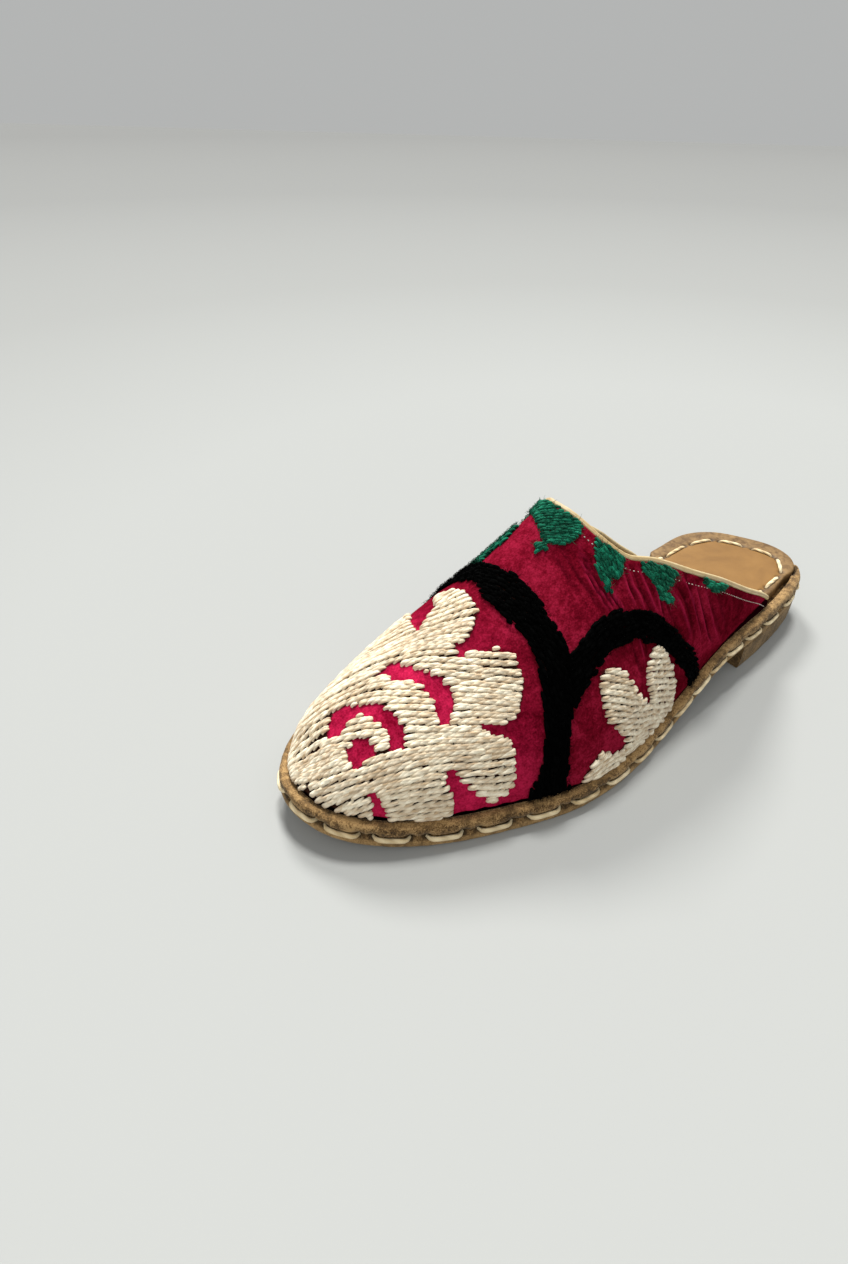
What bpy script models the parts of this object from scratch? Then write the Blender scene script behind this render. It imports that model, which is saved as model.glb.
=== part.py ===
"""Babouche slipper, left shoe: a hollow velvet upper on a welted leather sole with a low heel.

Metres, +Z up, +X to the toe, +Y to the wearer's left, which is the outer side of a left shoe.
The origin is on the floor, under the middle of the heel.
"""
import math
from collections import namedtuple

import bmesh
import bpy
import numpy as np

# Driving sizes, heel back and floor as the datum
LENGTH = 0.262              # outsole, heel back to toe tip
BALL_WIDTH = 0.0995         # outsole across the ball
INSTEP_HEIGHT = 0.0805      # floor to the top of the throat
THROAT_BACK = 0.146         # heel back to the top of the throat
OUTER_WING_BACK = 0.045     # heel back to the rear end of the upper, outer side
INNER_WING_BACK = 0.070     # heel back to the rear end of the upper, inner side
HEEL_HEIGHT = 0.0113        # floor to the outsole's underside at the heel
HEEL_LENGTH = 0.070         # heel back to the heel's breast
TOE_SPRING = 0.0060         # floor to the outsole's underside at the toe tip
OUTSOLE_THICKNESS = 0.0040
WELT_HEIGHT = 0.0059
WELT_WIDTH = 0.0042
WELT_TAPER = 0.012          # the welt's ends slope down over about this length
WALL = 0.0020               # velvet, lining and stiffener together
HEEL_INSOLE = 0.0055        # insole thickness under the heel
FOREPART_INSOLE = 0.0030    # insole thickness under the ball
INSOLE_MARGIN = 0.0008      # outsole edge to insole edge where nothing stands between them
BINDING_RADIUS = 0.0014
GAP = 0.0003                # clearance between pieces that meet
WING_LIFT = 0.0009          # the topline ends this far over the welt

# Places along the sole, as shares of the length
SHANK_REAR, SHANK_FRONT = 0.31, 0.515       # the sole comes down from heel to ball
TREAD_FRONT, SPRING_POWER = 0.78, 2.2       # the flat tread ends and the toe spring starts
OUTER_SEAT_REAR, OUTER_SEAT_FRONT = 0.023, 0.107    # the insole draws in behind the outer wing
INNER_SEAT_REAR, INNER_SEAT_FRONT = 0.205, 0.240    # and behind the inner wing

Section = namedtuple("Section", "station outer inner rise lean full")
# Station as a share of the length. Outer and inner are the outsole's half widths and lean is
# the ridge's offset to the outer side, as shares of the ball width. Rise is the ridge's height
# over the welt, as a share of its height at the throat. Full is the section's roundness:
# 1 is an ellipse and less is fuller.
SECTIONS = (
    Section(station=0.000, outer=0.000, inner=0.000, rise=1.040, lean=-0.18, full=1.10),
    Section(station=0.015, outer=0.122, inner=0.131, rise=1.040, lean=-0.18, full=1.10),
    Section(station=0.050, outer=0.219, inner=0.269, rise=1.040, lean=-0.18, full=1.10),
    Section(station=0.110, outer=0.276, inner=0.337, rise=1.040, lean=-0.18, full=1.10),
    Section(station=0.200, outer=0.327, inner=0.314, rise=1.040, lean=-0.18, full=1.10),
    Section(station=0.320, outer=0.371, inner=0.286, rise=1.040, lean=-0.18, full=1.12),
    Section(station=0.450, outer=0.435, inner=0.295, rise=1.070, lean=-0.18, full=1.17),
    Section(station=0.580, outer=0.511, inner=0.383, rise=0.868, lean=-0.09, full=1.14),
    Section(station=0.680, outer=0.521, inner=0.466, rise=0.672, lean=-0.01, full=1.11),
    Section(station=0.780, outer=0.458, inner=0.435, rise=0.495, lean=0.00, full=1.04),
    Section(station=0.870, outer=0.376, inner=0.342, rise=0.365, lean=0.00, full=0.97),
    Section(station=0.940, outer=0.274, inner=0.250, rise=0.220, lean=0.00, full=0.94),
    Section(station=0.980, outer=0.170, inner=0.140, rise=0.085, lean=0.00, full=0.92),
    Section(station=1.000, outer=0.000, inner=0.000, rise=0.000, lean=0.00, full=0.90),
)

Topline = namedtuple("Topline", "back height")
# Back is the way from the throat to the wing's end, and height the way from the wing's end up
# to the throat, both as shares.
TOPLINE = (
    Topline(back=0.000, height=1.000),
    Topline(back=0.012, height=0.980),
    Topline(back=0.045, height=0.890),
    Topline(back=0.110, height=0.795),
    Topline(back=0.227, height=0.730),
    Topline(back=0.381, height=0.600),
    Topline(back=0.536, height=0.469),
    Topline(back=0.742, height=0.262),
    Topline(back=0.900, height=0.112),
    Topline(back=1.000, height=0.000),
)

# Edge profiles: across is measured in from the outsole's edge, up from the piece's underside
Edge = namedtuple("Edge", "across up")
WELT_PROFILE = (            # shares of the welt's width and height
    Edge(across=0.06, up=0.00),
    Edge(across=0.00, up=0.14),
    Edge(across=0.05, up=0.68),
    Edge(across=0.27, up=0.93),
    Edge(across=0.62, up=1.00),
    Edge(across=1.00, up=0.88),
    Edge(across=1.00, up=0.00),
)
OUTSOLE_ROUNDING = 0.0007
INSOLE_ROUNDING = 0.0006
HEEL_TUCK = 0.0012          # the heel's edge lies this far inside the outsole's
HEEL_TAPER = 0.0008         # and draws in by this much more at the floor

# Mesh steps
SOLE_STEPS = 56             # stations along the sole, heel back to toe tip
WELT_STEPS = 84             # stations round the welt, wing to wing
TOE_STEPS = 22              # stations from the toe tip to the throat
WING_STEPS = 16             # stations from the throat to the end of each wing
RIB_STEPS = 9               # steps from the welt up to the ridge or topline
SLOPE_STEP = 0.01           # small step, in radians or climb, that a slope is taken over
SHARP_EDGE = math.radians(40)

HEEL_CENTRE = HEEL_LENGTH / 2
FEATHER = OUTSOLE_THICKNESS + WELT_HEIGHT       # top of the welt over the outsole's underside
SEAT = OUTSOLE_THICKNESS + GAP                  # what stands on the outsole starts here
UPPER_INSET = WELT_WIDTH + GAP
INSOLE_INSET = UPPER_INSET + WALL + GAP
FULL_TURN = 2 * math.pi


def smoothstep(start, end, value):
    """Share of the way from start to end, with a soft beginning and end."""
    share = min(max((value - start) / (end - start), 0.0), 1.0)
    return share * share * (3 - 2 * share)


def unit(vector):
    """The vector at length one."""
    return vector / np.linalg.norm(vector)


def through(places, values, at):
    """Smooth curve through the values, its slope at each place taken from both neighbours."""
    at = min(max(at, places[0]), places[-1])
    last = len(places) - 1
    k = min(int(np.searchsorted(places, at, side="right")) - 1, last - 1)
    span = places[k + 1] - places[k]

    def slope(i):
        low, high = max(i - 1, 0), min(i + 1, last)
        return (values[high] - values[low]) / (places[high] - places[low])

    t = (at - places[k]) / span
    return ((1 + 2 * t) * (1 - t) ** 2 * values[k] + t * (1 - t) ** 2 * span * slope(k)
            + t * t * (3 - 2 * t) * values[k + 1] - t * t * (1 - t) * span * slope(k + 1))


def turn_at(x_from_heel):
    """Angle round the sole for a distance from the heel back: 0 at the heel, pi at the toe."""
    return math.acos(1 - 2 * x_from_heel / LENGTH)


TURNS = [math.acos(1 - 2 * row.station) for row in SECTIONS]


def column(name, turn):
    """A column of the section table at an angle round the sole, the same on both sides."""
    turn = min(turn, FULL_TURN - turn)
    return through(TURNS, [getattr(row, name) for row in SECTIONS], turn)


def underside(x_from_heel):
    """Height of the outsole's underside: heel, shank, flat tread and toe spring."""
    station = x_from_heel / LENGTH
    heel = HEEL_HEIGHT * (1 - smoothstep(SHANK_REAR, SHANK_FRONT, station))
    toe = max(station - TREAD_FRONT, 0.0) / (1 - TREAD_FRONT)
    return heel + TOE_SPRING * toe ** SPRING_POWER


def rim(turn):
    """Point of the outsole's edge in plan, measured from the heel back."""
    x = LENGTH * (1 - math.cos(turn)) / 2
    if turn <= math.pi:
        return np.array([x, BALL_WIDTH * column("outer", turn)])
    return np.array([x, -BALL_WIDTH * column("inner", turn)])


def edge(turn, inset, up):
    """Point a distance in from the outsole's edge and up from its underside."""
    turn = turn % FULL_TURN
    along = rim((turn + SLOPE_STEP) % FULL_TURN) - rim((turn - SLOPE_STEP) % FULL_TURN)
    x, y = rim(turn) + unit(np.array([along[1], -along[0]])) * inset
    return np.array([x - HEEL_CENTRE, y, underside(x) + up])


def insole_inset(turn):
    """How far the insole's edge lies inside the outsole's: little behind the wings."""
    x = rim(turn)[0] / LENGTH
    if turn <= math.pi:
        share = smoothstep(OUTER_SEAT_REAR, OUTER_SEAT_FRONT, x)
    else:
        share = smoothstep(INNER_SEAT_REAR, INNER_SEAT_FRONT, x)
    return INSOLE_MARGIN + (INSOLE_INSET - INSOLE_MARGIN) * share


def insole_thickness(x_from_heel):
    """The insole thins from heel to ball along the shank."""
    share = smoothstep(SHANK_REAR, SHANK_FRONT, x_from_heel / LENGTH)
    return HEEL_INSOLE + (FOREPART_INSOLE - HEEL_INSOLE) * share


def ridge(turn):
    """Highest point of the upper's section, between the two sides of the sole."""
    outer = edge(turn, UPPER_INSET, FEATHER)
    inner = edge(FULL_TURN - turn, UPPER_INSET, FEATHER)
    middle = (outer + inner) / 2
    throat = turn_at(THROAT_BACK)
    height = (INSTEP_HEIGHT - FEATHER) * column("rise", turn) / column("rise", throat)
    lean = BALL_WIDTH * column("lean", turn)
    middle[1] = lean + middle[1] * smoothstep(TREAD_FRONT, 1.0, rim(turn)[0] / LENGTH)
    middle[2] += height
    return middle


def rib_point(turn, side, climb):
    """Point of the upper's outside on one section: climb 0 is at the welt, 1 at the ridge."""
    foot = edge(turn if side > 0 else FULL_TURN - turn, UPPER_INSET, FEATHER)
    top = ridge(turn)
    full = column("full", turn)
    across = math.cos(climb * math.pi / 2) ** full
    up = math.sin(climb * math.pi / 2) ** full
    point = top + (foot - top) * across
    point[2] = foot[2] + (top[2] - foot[2]) * up
    return point


def topline_at(share, side):
    """Angle round the sole and climb where the topline crosses a wing's section."""
    count = [k / (len(TOPLINE) - 1) for k in range(len(TOPLINE))]
    back = through(count, [row.back for row in TOPLINE], share)
    height = through(count, [row.height for row in TOPLINE], share)
    wing = OUTER_WING_BACK if side > 0 else INNER_WING_BACK
    x = THROAT_BACK + (wing - THROAT_BACK) * back
    turn = turn_at(x)
    low = underside(wing) + FEATHER + WING_LIFT
    z = low + (INSTEP_HEIGHT - low) * height
    foot = edge(turn if side > 0 else FULL_TURN - turn, UPPER_INSET, FEATHER)[2]
    up = min(max((z - foot) / (ridge(turn)[2] - foot), 0.0), 1.0) ** (1 / column("full", turn))
    return turn, math.asin(up) * 2 / math.pi


def rib(turn, side, climb):
    """One side of a section from the outsole up to the ridge or topline."""
    foot = edge(turn if side > 0 else FULL_TURN - turn, UPPER_INSET, SEAT + GAP)
    climbs = [climb * k / RIB_STEPS for k in range(RIB_STEPS + 1)]
    return [foot] + [rib_point(turn, side, share) for share in climbs]


def upper_sides():
    """Ribs of both sides from the toe tip to the wing's end, outer side first."""
    throat = turn_at(THROAT_BACK)
    sides = []
    for side in (1, -1):
        ribs = []
        for k in range(TOE_STEPS + 1):
            ribs.append(rib(math.pi + (throat - math.pi) * k / TOE_STEPS, side, 1.0))
        for k in range(1, WING_STEPS + 1):
            turn, climb = topline_at(k / WING_STEPS, side)
            ribs.append(rib(turn, side, climb))
        sides.append(ribs)
    return sides


def material(name, colour, roughness):
    """Plain Principled material in the part's colour."""
    made = bpy.data.materials.new(name)
    made.use_nodes = True
    shader = made.node_tree.nodes["Principled BSDF"]
    shader.inputs["Base Color"].default_value = (*colour, 1.0)
    shader.inputs["Roughness"].default_value = roughness
    shader.inputs["Metallic"].default_value = 0.0
    return made


def add_object(name, mesh, finish, collection):
    """Object for one sub-part, with its finish."""
    made = bpy.data.objects.new(name, mesh)
    mesh.materials.append(finish)
    collection.objects.link(made)
    return made


def loft(name, loops, closed_sweep):
    """Mesh through loops of points. A closed sweep joins last loop to first and each loop is
    open; otherwise each loop is closed and the first and last are filled across."""
    shape = bmesh.new()
    rows = [[shape.verts.new(point) for point in loop] for loop in loops]
    size = len(rows[0])
    sweep = rows + rows[:1] if closed_sweep else rows
    around = size - 1 if closed_sweep else size
    for low, high in zip(sweep, sweep[1:]):
        for k in range(around):
            after = (k + 1) % size
            shape.faces.new((low[k], low[after], high[after], high[k]))
    if closed_sweep:
        shape.faces.new([row[0] for row in rows])
        shape.faces.new([row[-1] for row in reversed(rows)])
    else:
        for row in (rows[0], rows[-1]):
            for k in range((size - 1) // 2):
                corners = (row[k], row[k + 1], row[size - 2 - k], row[size - 1 - k])
                shape.faces.new(list(dict.fromkeys(corners)))
    bmesh.ops.remove_doubles(shape, verts=shape.verts, dist=1e-6)
    bmesh.ops.recalc_face_normals(shape, faces=shape.faces)
    mesh = bpy.data.meshes.new(name)
    shape.to_mesh(mesh)
    shape.free()
    mesh.shade_smooth()
    mesh.set_sharp_from_angle(angle=SHARP_EDGE)
    return mesh


def sole_turns():
    """Angles once round the sole, starting and ending beside the heel back."""
    count = 2 * SOLE_STEPS
    return [FULL_TURN * (k + 0.5) / count for k in range(count)]


def make_outsole(collection):
    """Outsole slab that follows the underside, with its edges eased."""
    levels = ((OUTSOLE_ROUNDING, 0.0), (0.0, OUTSOLE_ROUNDING),
              (0.0, OUTSOLE_THICKNESS - OUTSOLE_ROUNDING), (OUTSOLE_ROUNDING, OUTSOLE_THICKNESS))
    loops = [[edge(turn, inset, up) for turn in sole_turns()] for inset, up in levels]
    finish = material("outsole_leather", (0.22, 0.13, 0.06), 0.8)
    return add_object("outsole", loft("outsole", loops, False), finish, collection)


def make_insole(collection):
    """Leather insole, flush at the heel and drawn in between the upper's walls ahead of it."""
    loops = []
    for top, eased in ((0, 1), (0, 0), (1, 0), (1, 1)):
        shift = 0.0 if eased else INSOLE_ROUNDING * (1 - 2 * top)
        loop = []
        for turn in sole_turns():
            thickness = top * insole_thickness(rim(turn)[0])
            inset = insole_inset(turn) + eased * INSOLE_ROUNDING
            loop.append(edge(turn, inset, SEAT + thickness + shift))
        loops.append(loop)
    finish = material("insole_leather", (0.42, 0.26, 0.12), 0.65)
    return add_object("insole", loft("insole", loops, False), finish, collection)


def make_heel(collection):
    """Low heel block under the outsole, with a straight breast."""
    breast = turn_at(HEEL_LENGTH)
    count = SOLE_STEPS // 2
    turns = [breast * (1 - 2 * (k + 0.5) / (2 * count)) for k in range(2 * count)]
    turns = [breast] + turns + [-breast]
    loops = []
    for inset, z in ((HEEL_TUCK + HEEL_TAPER, 0.0), (HEEL_TUCK, HEEL_HEIGHT - GAP)):
        loop = []
        for turn in turns:
            x, y, _ = edge(turn, inset, 0.0)
            loop.append(np.array([min(x, HEEL_LENGTH - HEEL_CENTRE), y, z]))
        loops.append(loop)
    finish = material("heel_leather", (0.20, 0.12, 0.06), 0.85)
    return add_object("heel", loft("heel", loops, False), finish, collection)


def make_welt(collection):
    """Rolled leather strip on the outsole's edge, from wing to wing round the toe."""
    start = turn_at(LENGTH * (OUTER_SEAT_REAR + OUTER_SEAT_FRONT) / 2)
    end = FULL_TURN - turn_at(LENGTH * (INNER_SEAT_REAR + INNER_SEAT_FRONT) / 2)
    taper = (WELT_TAPER / LENGTH) * FULL_TURN
    loops = []
    for profile in WELT_PROFILE:
        loop = []
        for k in range(WELT_STEPS + 1):
            turn = start + (end - start) * k / WELT_STEPS
            width = min(WELT_WIDTH, insole_inset(turn) - GAP)
            fade = smoothstep(-taper, taper, min(turn - start, end - turn))
            up = SEAT + profile.up * fade * (WELT_HEIGHT - GAP)
            loop.append(edge(turn, profile.across * width, up))
        loops.append(loop)
    finish = material("welt_leather", (0.20, 0.12, 0.06), 0.85)
    return add_object("welt", loft("welt", loops, True), finish, collection)


def make_upper(collection):
    """Hollow upper: one open sheet from welt to topline, thickened inwards."""
    shape = bmesh.new()
    for side, ribs in zip((1, -1), upper_sides()):
        rows = [[shape.verts.new(point) for point in points] for points in ribs]
        for low, high in zip(rows, rows[1:]):
            for k in range(len(low) - 1):
                corners = (low[k], low[k + 1], high[k + 1], high[k])
                shape.faces.new(corners[::-1] if side > 0 else corners)
    bmesh.ops.remove_doubles(shape, verts=shape.verts, dist=1e-5)
    bmesh.ops.dissolve_degenerate(shape, edges=shape.edges, dist=1e-6)
    mesh = bpy.data.meshes.new("upper")
    shape.to_mesh(mesh)
    shape.free()
    mesh.shade_smooth()
    finish = material("upper_velvet", (0.28, 0.005, 0.03), 0.9)
    upper = add_object("upper", mesh, finish, collection)
    wall = upper.modifiers.new("wall", "SOLIDIFY")
    wall.thickness = WALL
    wall.offset = -1
    wall.use_even_offset = True
    return upper


def binding_path():
    """Centre line of the binding, off the upper's rim, from one wing's end to the other."""
    shares = [k / WING_STEPS for k in range(1, WING_STEPS + 1)]
    spots = [(1, *topline_at(share, 1)) for share in reversed(shares)]
    spots += [(1, turn_at(THROAT_BACK), 1.0)]
    spots += [(-1, *topline_at(share, -1)) for share in shares]
    tops = [rib_point(turn, side, climb) for side, turn, climb in spots]
    points = []
    for k, (side, turn, climb) in enumerate(spots):
        up = (rib_point(turn, side, min(climb + SLOPE_STEP, 1.0))
              - rib_point(turn, side, max(climb - SLOPE_STEP, 0.0)))
        ahead = (rib_point(turn + SLOPE_STEP, side, climb)
                 - rib_point(turn - SLOPE_STEP, side, climb))
        outward = unit(np.cross(up, ahead) * side)
        along = tops[min(k + 1, len(tops) - 1)] - tops[max(k - 1, 0)]
        off = unit(np.cross(along, outward))
        points.append(tops[k] - outward * WALL / 2 + off * (BINDING_RADIUS + GAP))
    return points


def make_binding(collection):
    """Cream leather binding along the topline, a tube with closed ends."""
    path = binding_path()
    curve = bpy.data.curves.new("topline_binding", "CURVE")
    curve.dimensions = "3D"
    curve.bevel_depth = BINDING_RADIUS
    curve.bevel_resolution = 2
    curve.use_fill_caps = True
    spline = curve.splines.new("POLY")
    spline.points.add(len(path) - 1)
    for point, place in zip(spline.points, path):
        point.co = (*place, 1.0)
    finish = material("binding_leather", (0.72, 0.62, 0.42), 0.6)
    return add_object("topline_binding", curve, finish, collection)


def main():
    for old in list(bpy.data.objects):
        bpy.data.objects.remove(old)
    collection = bpy.data.collections.new("babouche_slipper")
    bpy.context.scene.collection.children.link(collection)
    make_outsole(collection)
    make_heel(collection)
    make_insole(collection)
    make_welt(collection)
    make_upper(collection)
    make_binding(collection)


main()
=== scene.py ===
"""Looks of the babouche slipper: embroidered velvet on a hand-stitched leather sole.

Places on the upper are given on a chart, in millimetres: u runs along the ridge from the toe
tip, and s runs from the ridge down a side, positive on the outer side. Meshes are built in
millimetres and turned into metres when they are made.
"""

import math
from collections import namedtuple

import bpy
import numpy as np
from mathutils import Matrix, Vector


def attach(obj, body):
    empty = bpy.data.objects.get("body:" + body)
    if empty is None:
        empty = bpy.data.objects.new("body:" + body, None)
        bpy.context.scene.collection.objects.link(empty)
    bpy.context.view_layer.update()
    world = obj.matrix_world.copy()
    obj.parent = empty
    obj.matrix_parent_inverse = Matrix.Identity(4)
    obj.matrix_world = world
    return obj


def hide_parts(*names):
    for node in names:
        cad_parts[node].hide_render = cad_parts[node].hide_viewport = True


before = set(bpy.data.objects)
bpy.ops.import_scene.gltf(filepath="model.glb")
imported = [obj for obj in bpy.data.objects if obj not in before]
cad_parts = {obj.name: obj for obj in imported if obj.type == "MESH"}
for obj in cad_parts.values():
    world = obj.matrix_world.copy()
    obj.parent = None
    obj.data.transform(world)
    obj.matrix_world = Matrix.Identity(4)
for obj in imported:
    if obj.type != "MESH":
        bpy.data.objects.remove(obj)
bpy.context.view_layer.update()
rng = np.random.default_rng(11)

# The shoe's own sizes in metres, the same as the solids are made from
LENGTH, BALL_WIDTH, INSTEP_HEIGHT = 0.262, 0.0995, 0.0805
THROAT_BACK, OUTER_WING_BACK, INNER_WING_BACK = 0.146, 0.045, 0.070
HEEL_HEIGHT, HEEL_LENGTH, TOE_SPRING = 0.0113, 0.070, 0.0060
OUTSOLE_THICKNESS, WELT_HEIGHT, WELT_WIDTH = 0.0040, 0.0059, 0.0042
WALL, HEEL_INSOLE, FOREPART_INSOLE = 0.0020, 0.0055, 0.0030
GAP, WING_LIFT = 0.0003, 0.0009
SHANK_REAR, SHANK_FRONT, TREAD_FRONT, SPRING_POWER = 0.31, 0.515, 0.78, 2.2
OUTER_SEAT = (0.004, 0.075)
INNER_SEAT = (0.205, 0.240)
LEAN_OVER = 0.0015
HEEL_CENTRE = HEEL_LENGTH / 2
FEATHER = OUTSOLE_THICKNESS + WELT_HEIGHT
SEAT = OUTSOLE_THICKNESS + GAP
UPPER_INSET = WELT_WIDTH + GAP
INSOLE_INSET = UPPER_INSET + WALL + GAP
FULL_TURN = 2 * math.pi
SLOPE_STEP = 0.01
MM = 1000.0

Section = namedtuple("Section", "station outer inner rise lean full")
SECTIONS = [Section(*row) for row in (
    (0.000, 0.000, 0.000, 1.040, -0.18, 1.10),
    (0.015, 0.122, 0.131, 1.040, -0.18, 1.10),
    (0.050, 0.219, 0.269, 1.040, -0.18, 1.10),
    (0.110, 0.276, 0.337, 1.040, -0.18, 1.10),
    (0.200, 0.327, 0.314, 1.040, -0.18, 1.10),
    (0.320, 0.371, 0.286, 1.040, -0.18, 1.12),
    (0.450, 0.435, 0.295, 1.070, -0.18, 1.17),
    (0.580, 0.511, 0.383, 0.868, -0.09, 1.14),
    (0.680, 0.521, 0.466, 0.672, -0.01, 1.11),
    (0.780, 0.458, 0.435, 0.495, 0.00, 1.04),
    (0.870, 0.376, 0.342, 0.365, 0.00, 0.97),
    (0.940, 0.274, 0.250, 0.220, 0.00, 0.94),
    (0.980, 0.170, 0.140, 0.085, 0.00, 0.92),
    (1.000, 0.000, 0.000, 0.000, 0.00, 0.90),
)]
TOPLINE_BACK = (0.000, 0.012, 0.045, 0.110, 0.227, 0.381, 0.536, 0.742, 0.900, 1.000)
TOPLINE_HEIGHT = (1.000, 0.980, 0.890, 0.795, 0.730, 0.600, 0.469, 0.262, 0.112, 0.000)


# ---------- the last's shape

def smoothstep(start, end, value):
    share = np.clip((value - start) / (end - start), 0.0, 1.0)
    return share * share * (3 - 2 * share)


def unit(vector):
    return vector / np.linalg.norm(vector)


def run_along(points):
    """Distance along a line of points, at each of them."""
    gaps = np.linalg.norm(np.diff(points, axis=0), axis=1)
    return np.concatenate([[0.0], np.cumsum(gaps)])


def units(vectors):
    return vectors / (np.linalg.norm(vectors, axis=-1, keepdims=True) + 1e-12)


def through(places, values, at):
    """Smooth curve through the values, its slope at each place taken from both neighbours."""
    at = min(max(at, places[0]), places[-1])
    last = len(places) - 1
    k = min(int(np.searchsorted(places, at, side="right")) - 1, last - 1)
    span = places[k + 1] - places[k]

    def slope(i):
        low, high = max(i - 1, 0), min(i + 1, last)
        return (values[high] - values[low]) / (places[high] - places[low])

    t = (at - places[k]) / span
    return ((1 + 2 * t) * (1 - t) ** 2 * values[k] + t * (1 - t) ** 2 * span * slope(k)
            + t * t * (3 - 2 * t) * values[k + 1] - t * t * (1 - t) * span * slope(k + 1))


def turn_at(x_from_heel):
    return math.acos(1 - 2 * x_from_heel / LENGTH)


TURNS = [turn_at(row.station * LENGTH) for row in SECTIONS]
COLUMNS = {name: [getattr(row, name) for row in SECTIONS] for name in Section._fields}


def column(name, turn):
    return through(TURNS, COLUMNS[name], min(turn, FULL_TURN - turn))


def underside(x_from_heel):
    station = x_from_heel / LENGTH
    heel = HEEL_HEIGHT * (1 - smoothstep(SHANK_REAR, SHANK_FRONT, station))
    toe = max(station - TREAD_FRONT, 0.0) / (1 - TREAD_FRONT)
    return heel + TOE_SPRING * toe ** SPRING_POWER


def rim(turn):
    x = LENGTH * (1 - math.cos(turn)) / 2
    if turn <= math.pi:
        return np.array([x, BALL_WIDTH * column("outer", turn)])
    return np.array([x, -BALL_WIDTH * column("inner", turn)])


def edge(turn, inset, up):
    """Point a distance in from the outsole's edge and up from its underside, in metres."""
    turn = turn % FULL_TURN
    along = rim((turn + SLOPE_STEP) % FULL_TURN) - rim((turn - SLOPE_STEP) % FULL_TURN)
    x, y = rim(turn) + unit(np.array([along[1], -along[0]])) * inset
    return np.array([x - HEEL_CENTRE, y, underside(x) + up])


def insole_inset(turn):
    x = rim(turn)[0] / LENGTH
    share = smoothstep(*(OUTER_SEAT if turn <= math.pi else INNER_SEAT), x)
    return INSOLE_INSET * share


def insole_thickness(x_from_heel):
    share = smoothstep(SHANK_REAR, SHANK_FRONT, x_from_heel / LENGTH)
    return HEEL_INSOLE + (FOREPART_INSOLE - HEEL_INSOLE) * share


def ridge(turn):
    outer = edge(turn, UPPER_INSET, FEATHER)
    inner = edge(FULL_TURN - turn, UPPER_INSET, FEATHER)
    middle = (outer + inner) / 2
    throat = turn_at(THROAT_BACK)
    height = (INSTEP_HEIGHT - FEATHER) * column("rise", turn) / column("rise", throat)
    middle[1] = (BALL_WIDTH * column("lean", turn)
                 + middle[1] * smoothstep(TREAD_FRONT, 1.0, rim(turn)[0] / LENGTH))
    middle[2] += height
    return middle


def lean_over(turn):
    """How far the velvet's foot bulges out over the welt, most at the waist."""
    station = rim(turn)[0] / LENGTH
    front = 0.35 + 0.65 * smoothstep(0.85, 0.62, station)
    return LEAN_OVER * front * smoothstep(0.17, 0.36, station)


def foot_of(turn, side):
    out = lean_over(turn)
    return edge(turn if side > 0 else FULL_TURN - turn, UPPER_INSET - out, FEATHER - 1.1 * out)


def rib_points(turn, side, climbs):
    """Points up one side of a section: climb 0 is at the welt and 1 at the ridge."""
    foot = foot_of(turn, side)
    top = ridge(turn)
    full = column("full", turn)
    across = np.clip(np.cos(climbs * math.pi / 2), 0, 1) ** full
    up = np.sin(climbs * math.pi / 2) ** full
    points = top + (foot - top) * across[:, None]
    points[:, 2] = foot[2] + (top[2] - foot[2]) * up
    return points


def topline_at(share, side):
    """Turn and climb where the topline crosses a wing's section."""
    count = [k / (len(TOPLINE_BACK) - 1) for k in range(len(TOPLINE_BACK))]
    back = through(count, TOPLINE_BACK, share)
    height = through(count, TOPLINE_HEIGHT, share)
    wing = OUTER_WING_BACK if side > 0 else INNER_WING_BACK
    turn = turn_at(THROAT_BACK + (wing - THROAT_BACK) * back)
    low = underside(wing) + FEATHER + WING_LIFT
    z = low + (INSTEP_HEIGHT - low) * height
    foot = foot_of(turn, side)[2]
    up = min(max((z - foot) / (ridge(turn)[2] - foot), 0.0), 1.0) ** (1 / column("full", turn))
    return turn, math.asin(up) * 2 / math.pi


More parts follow.
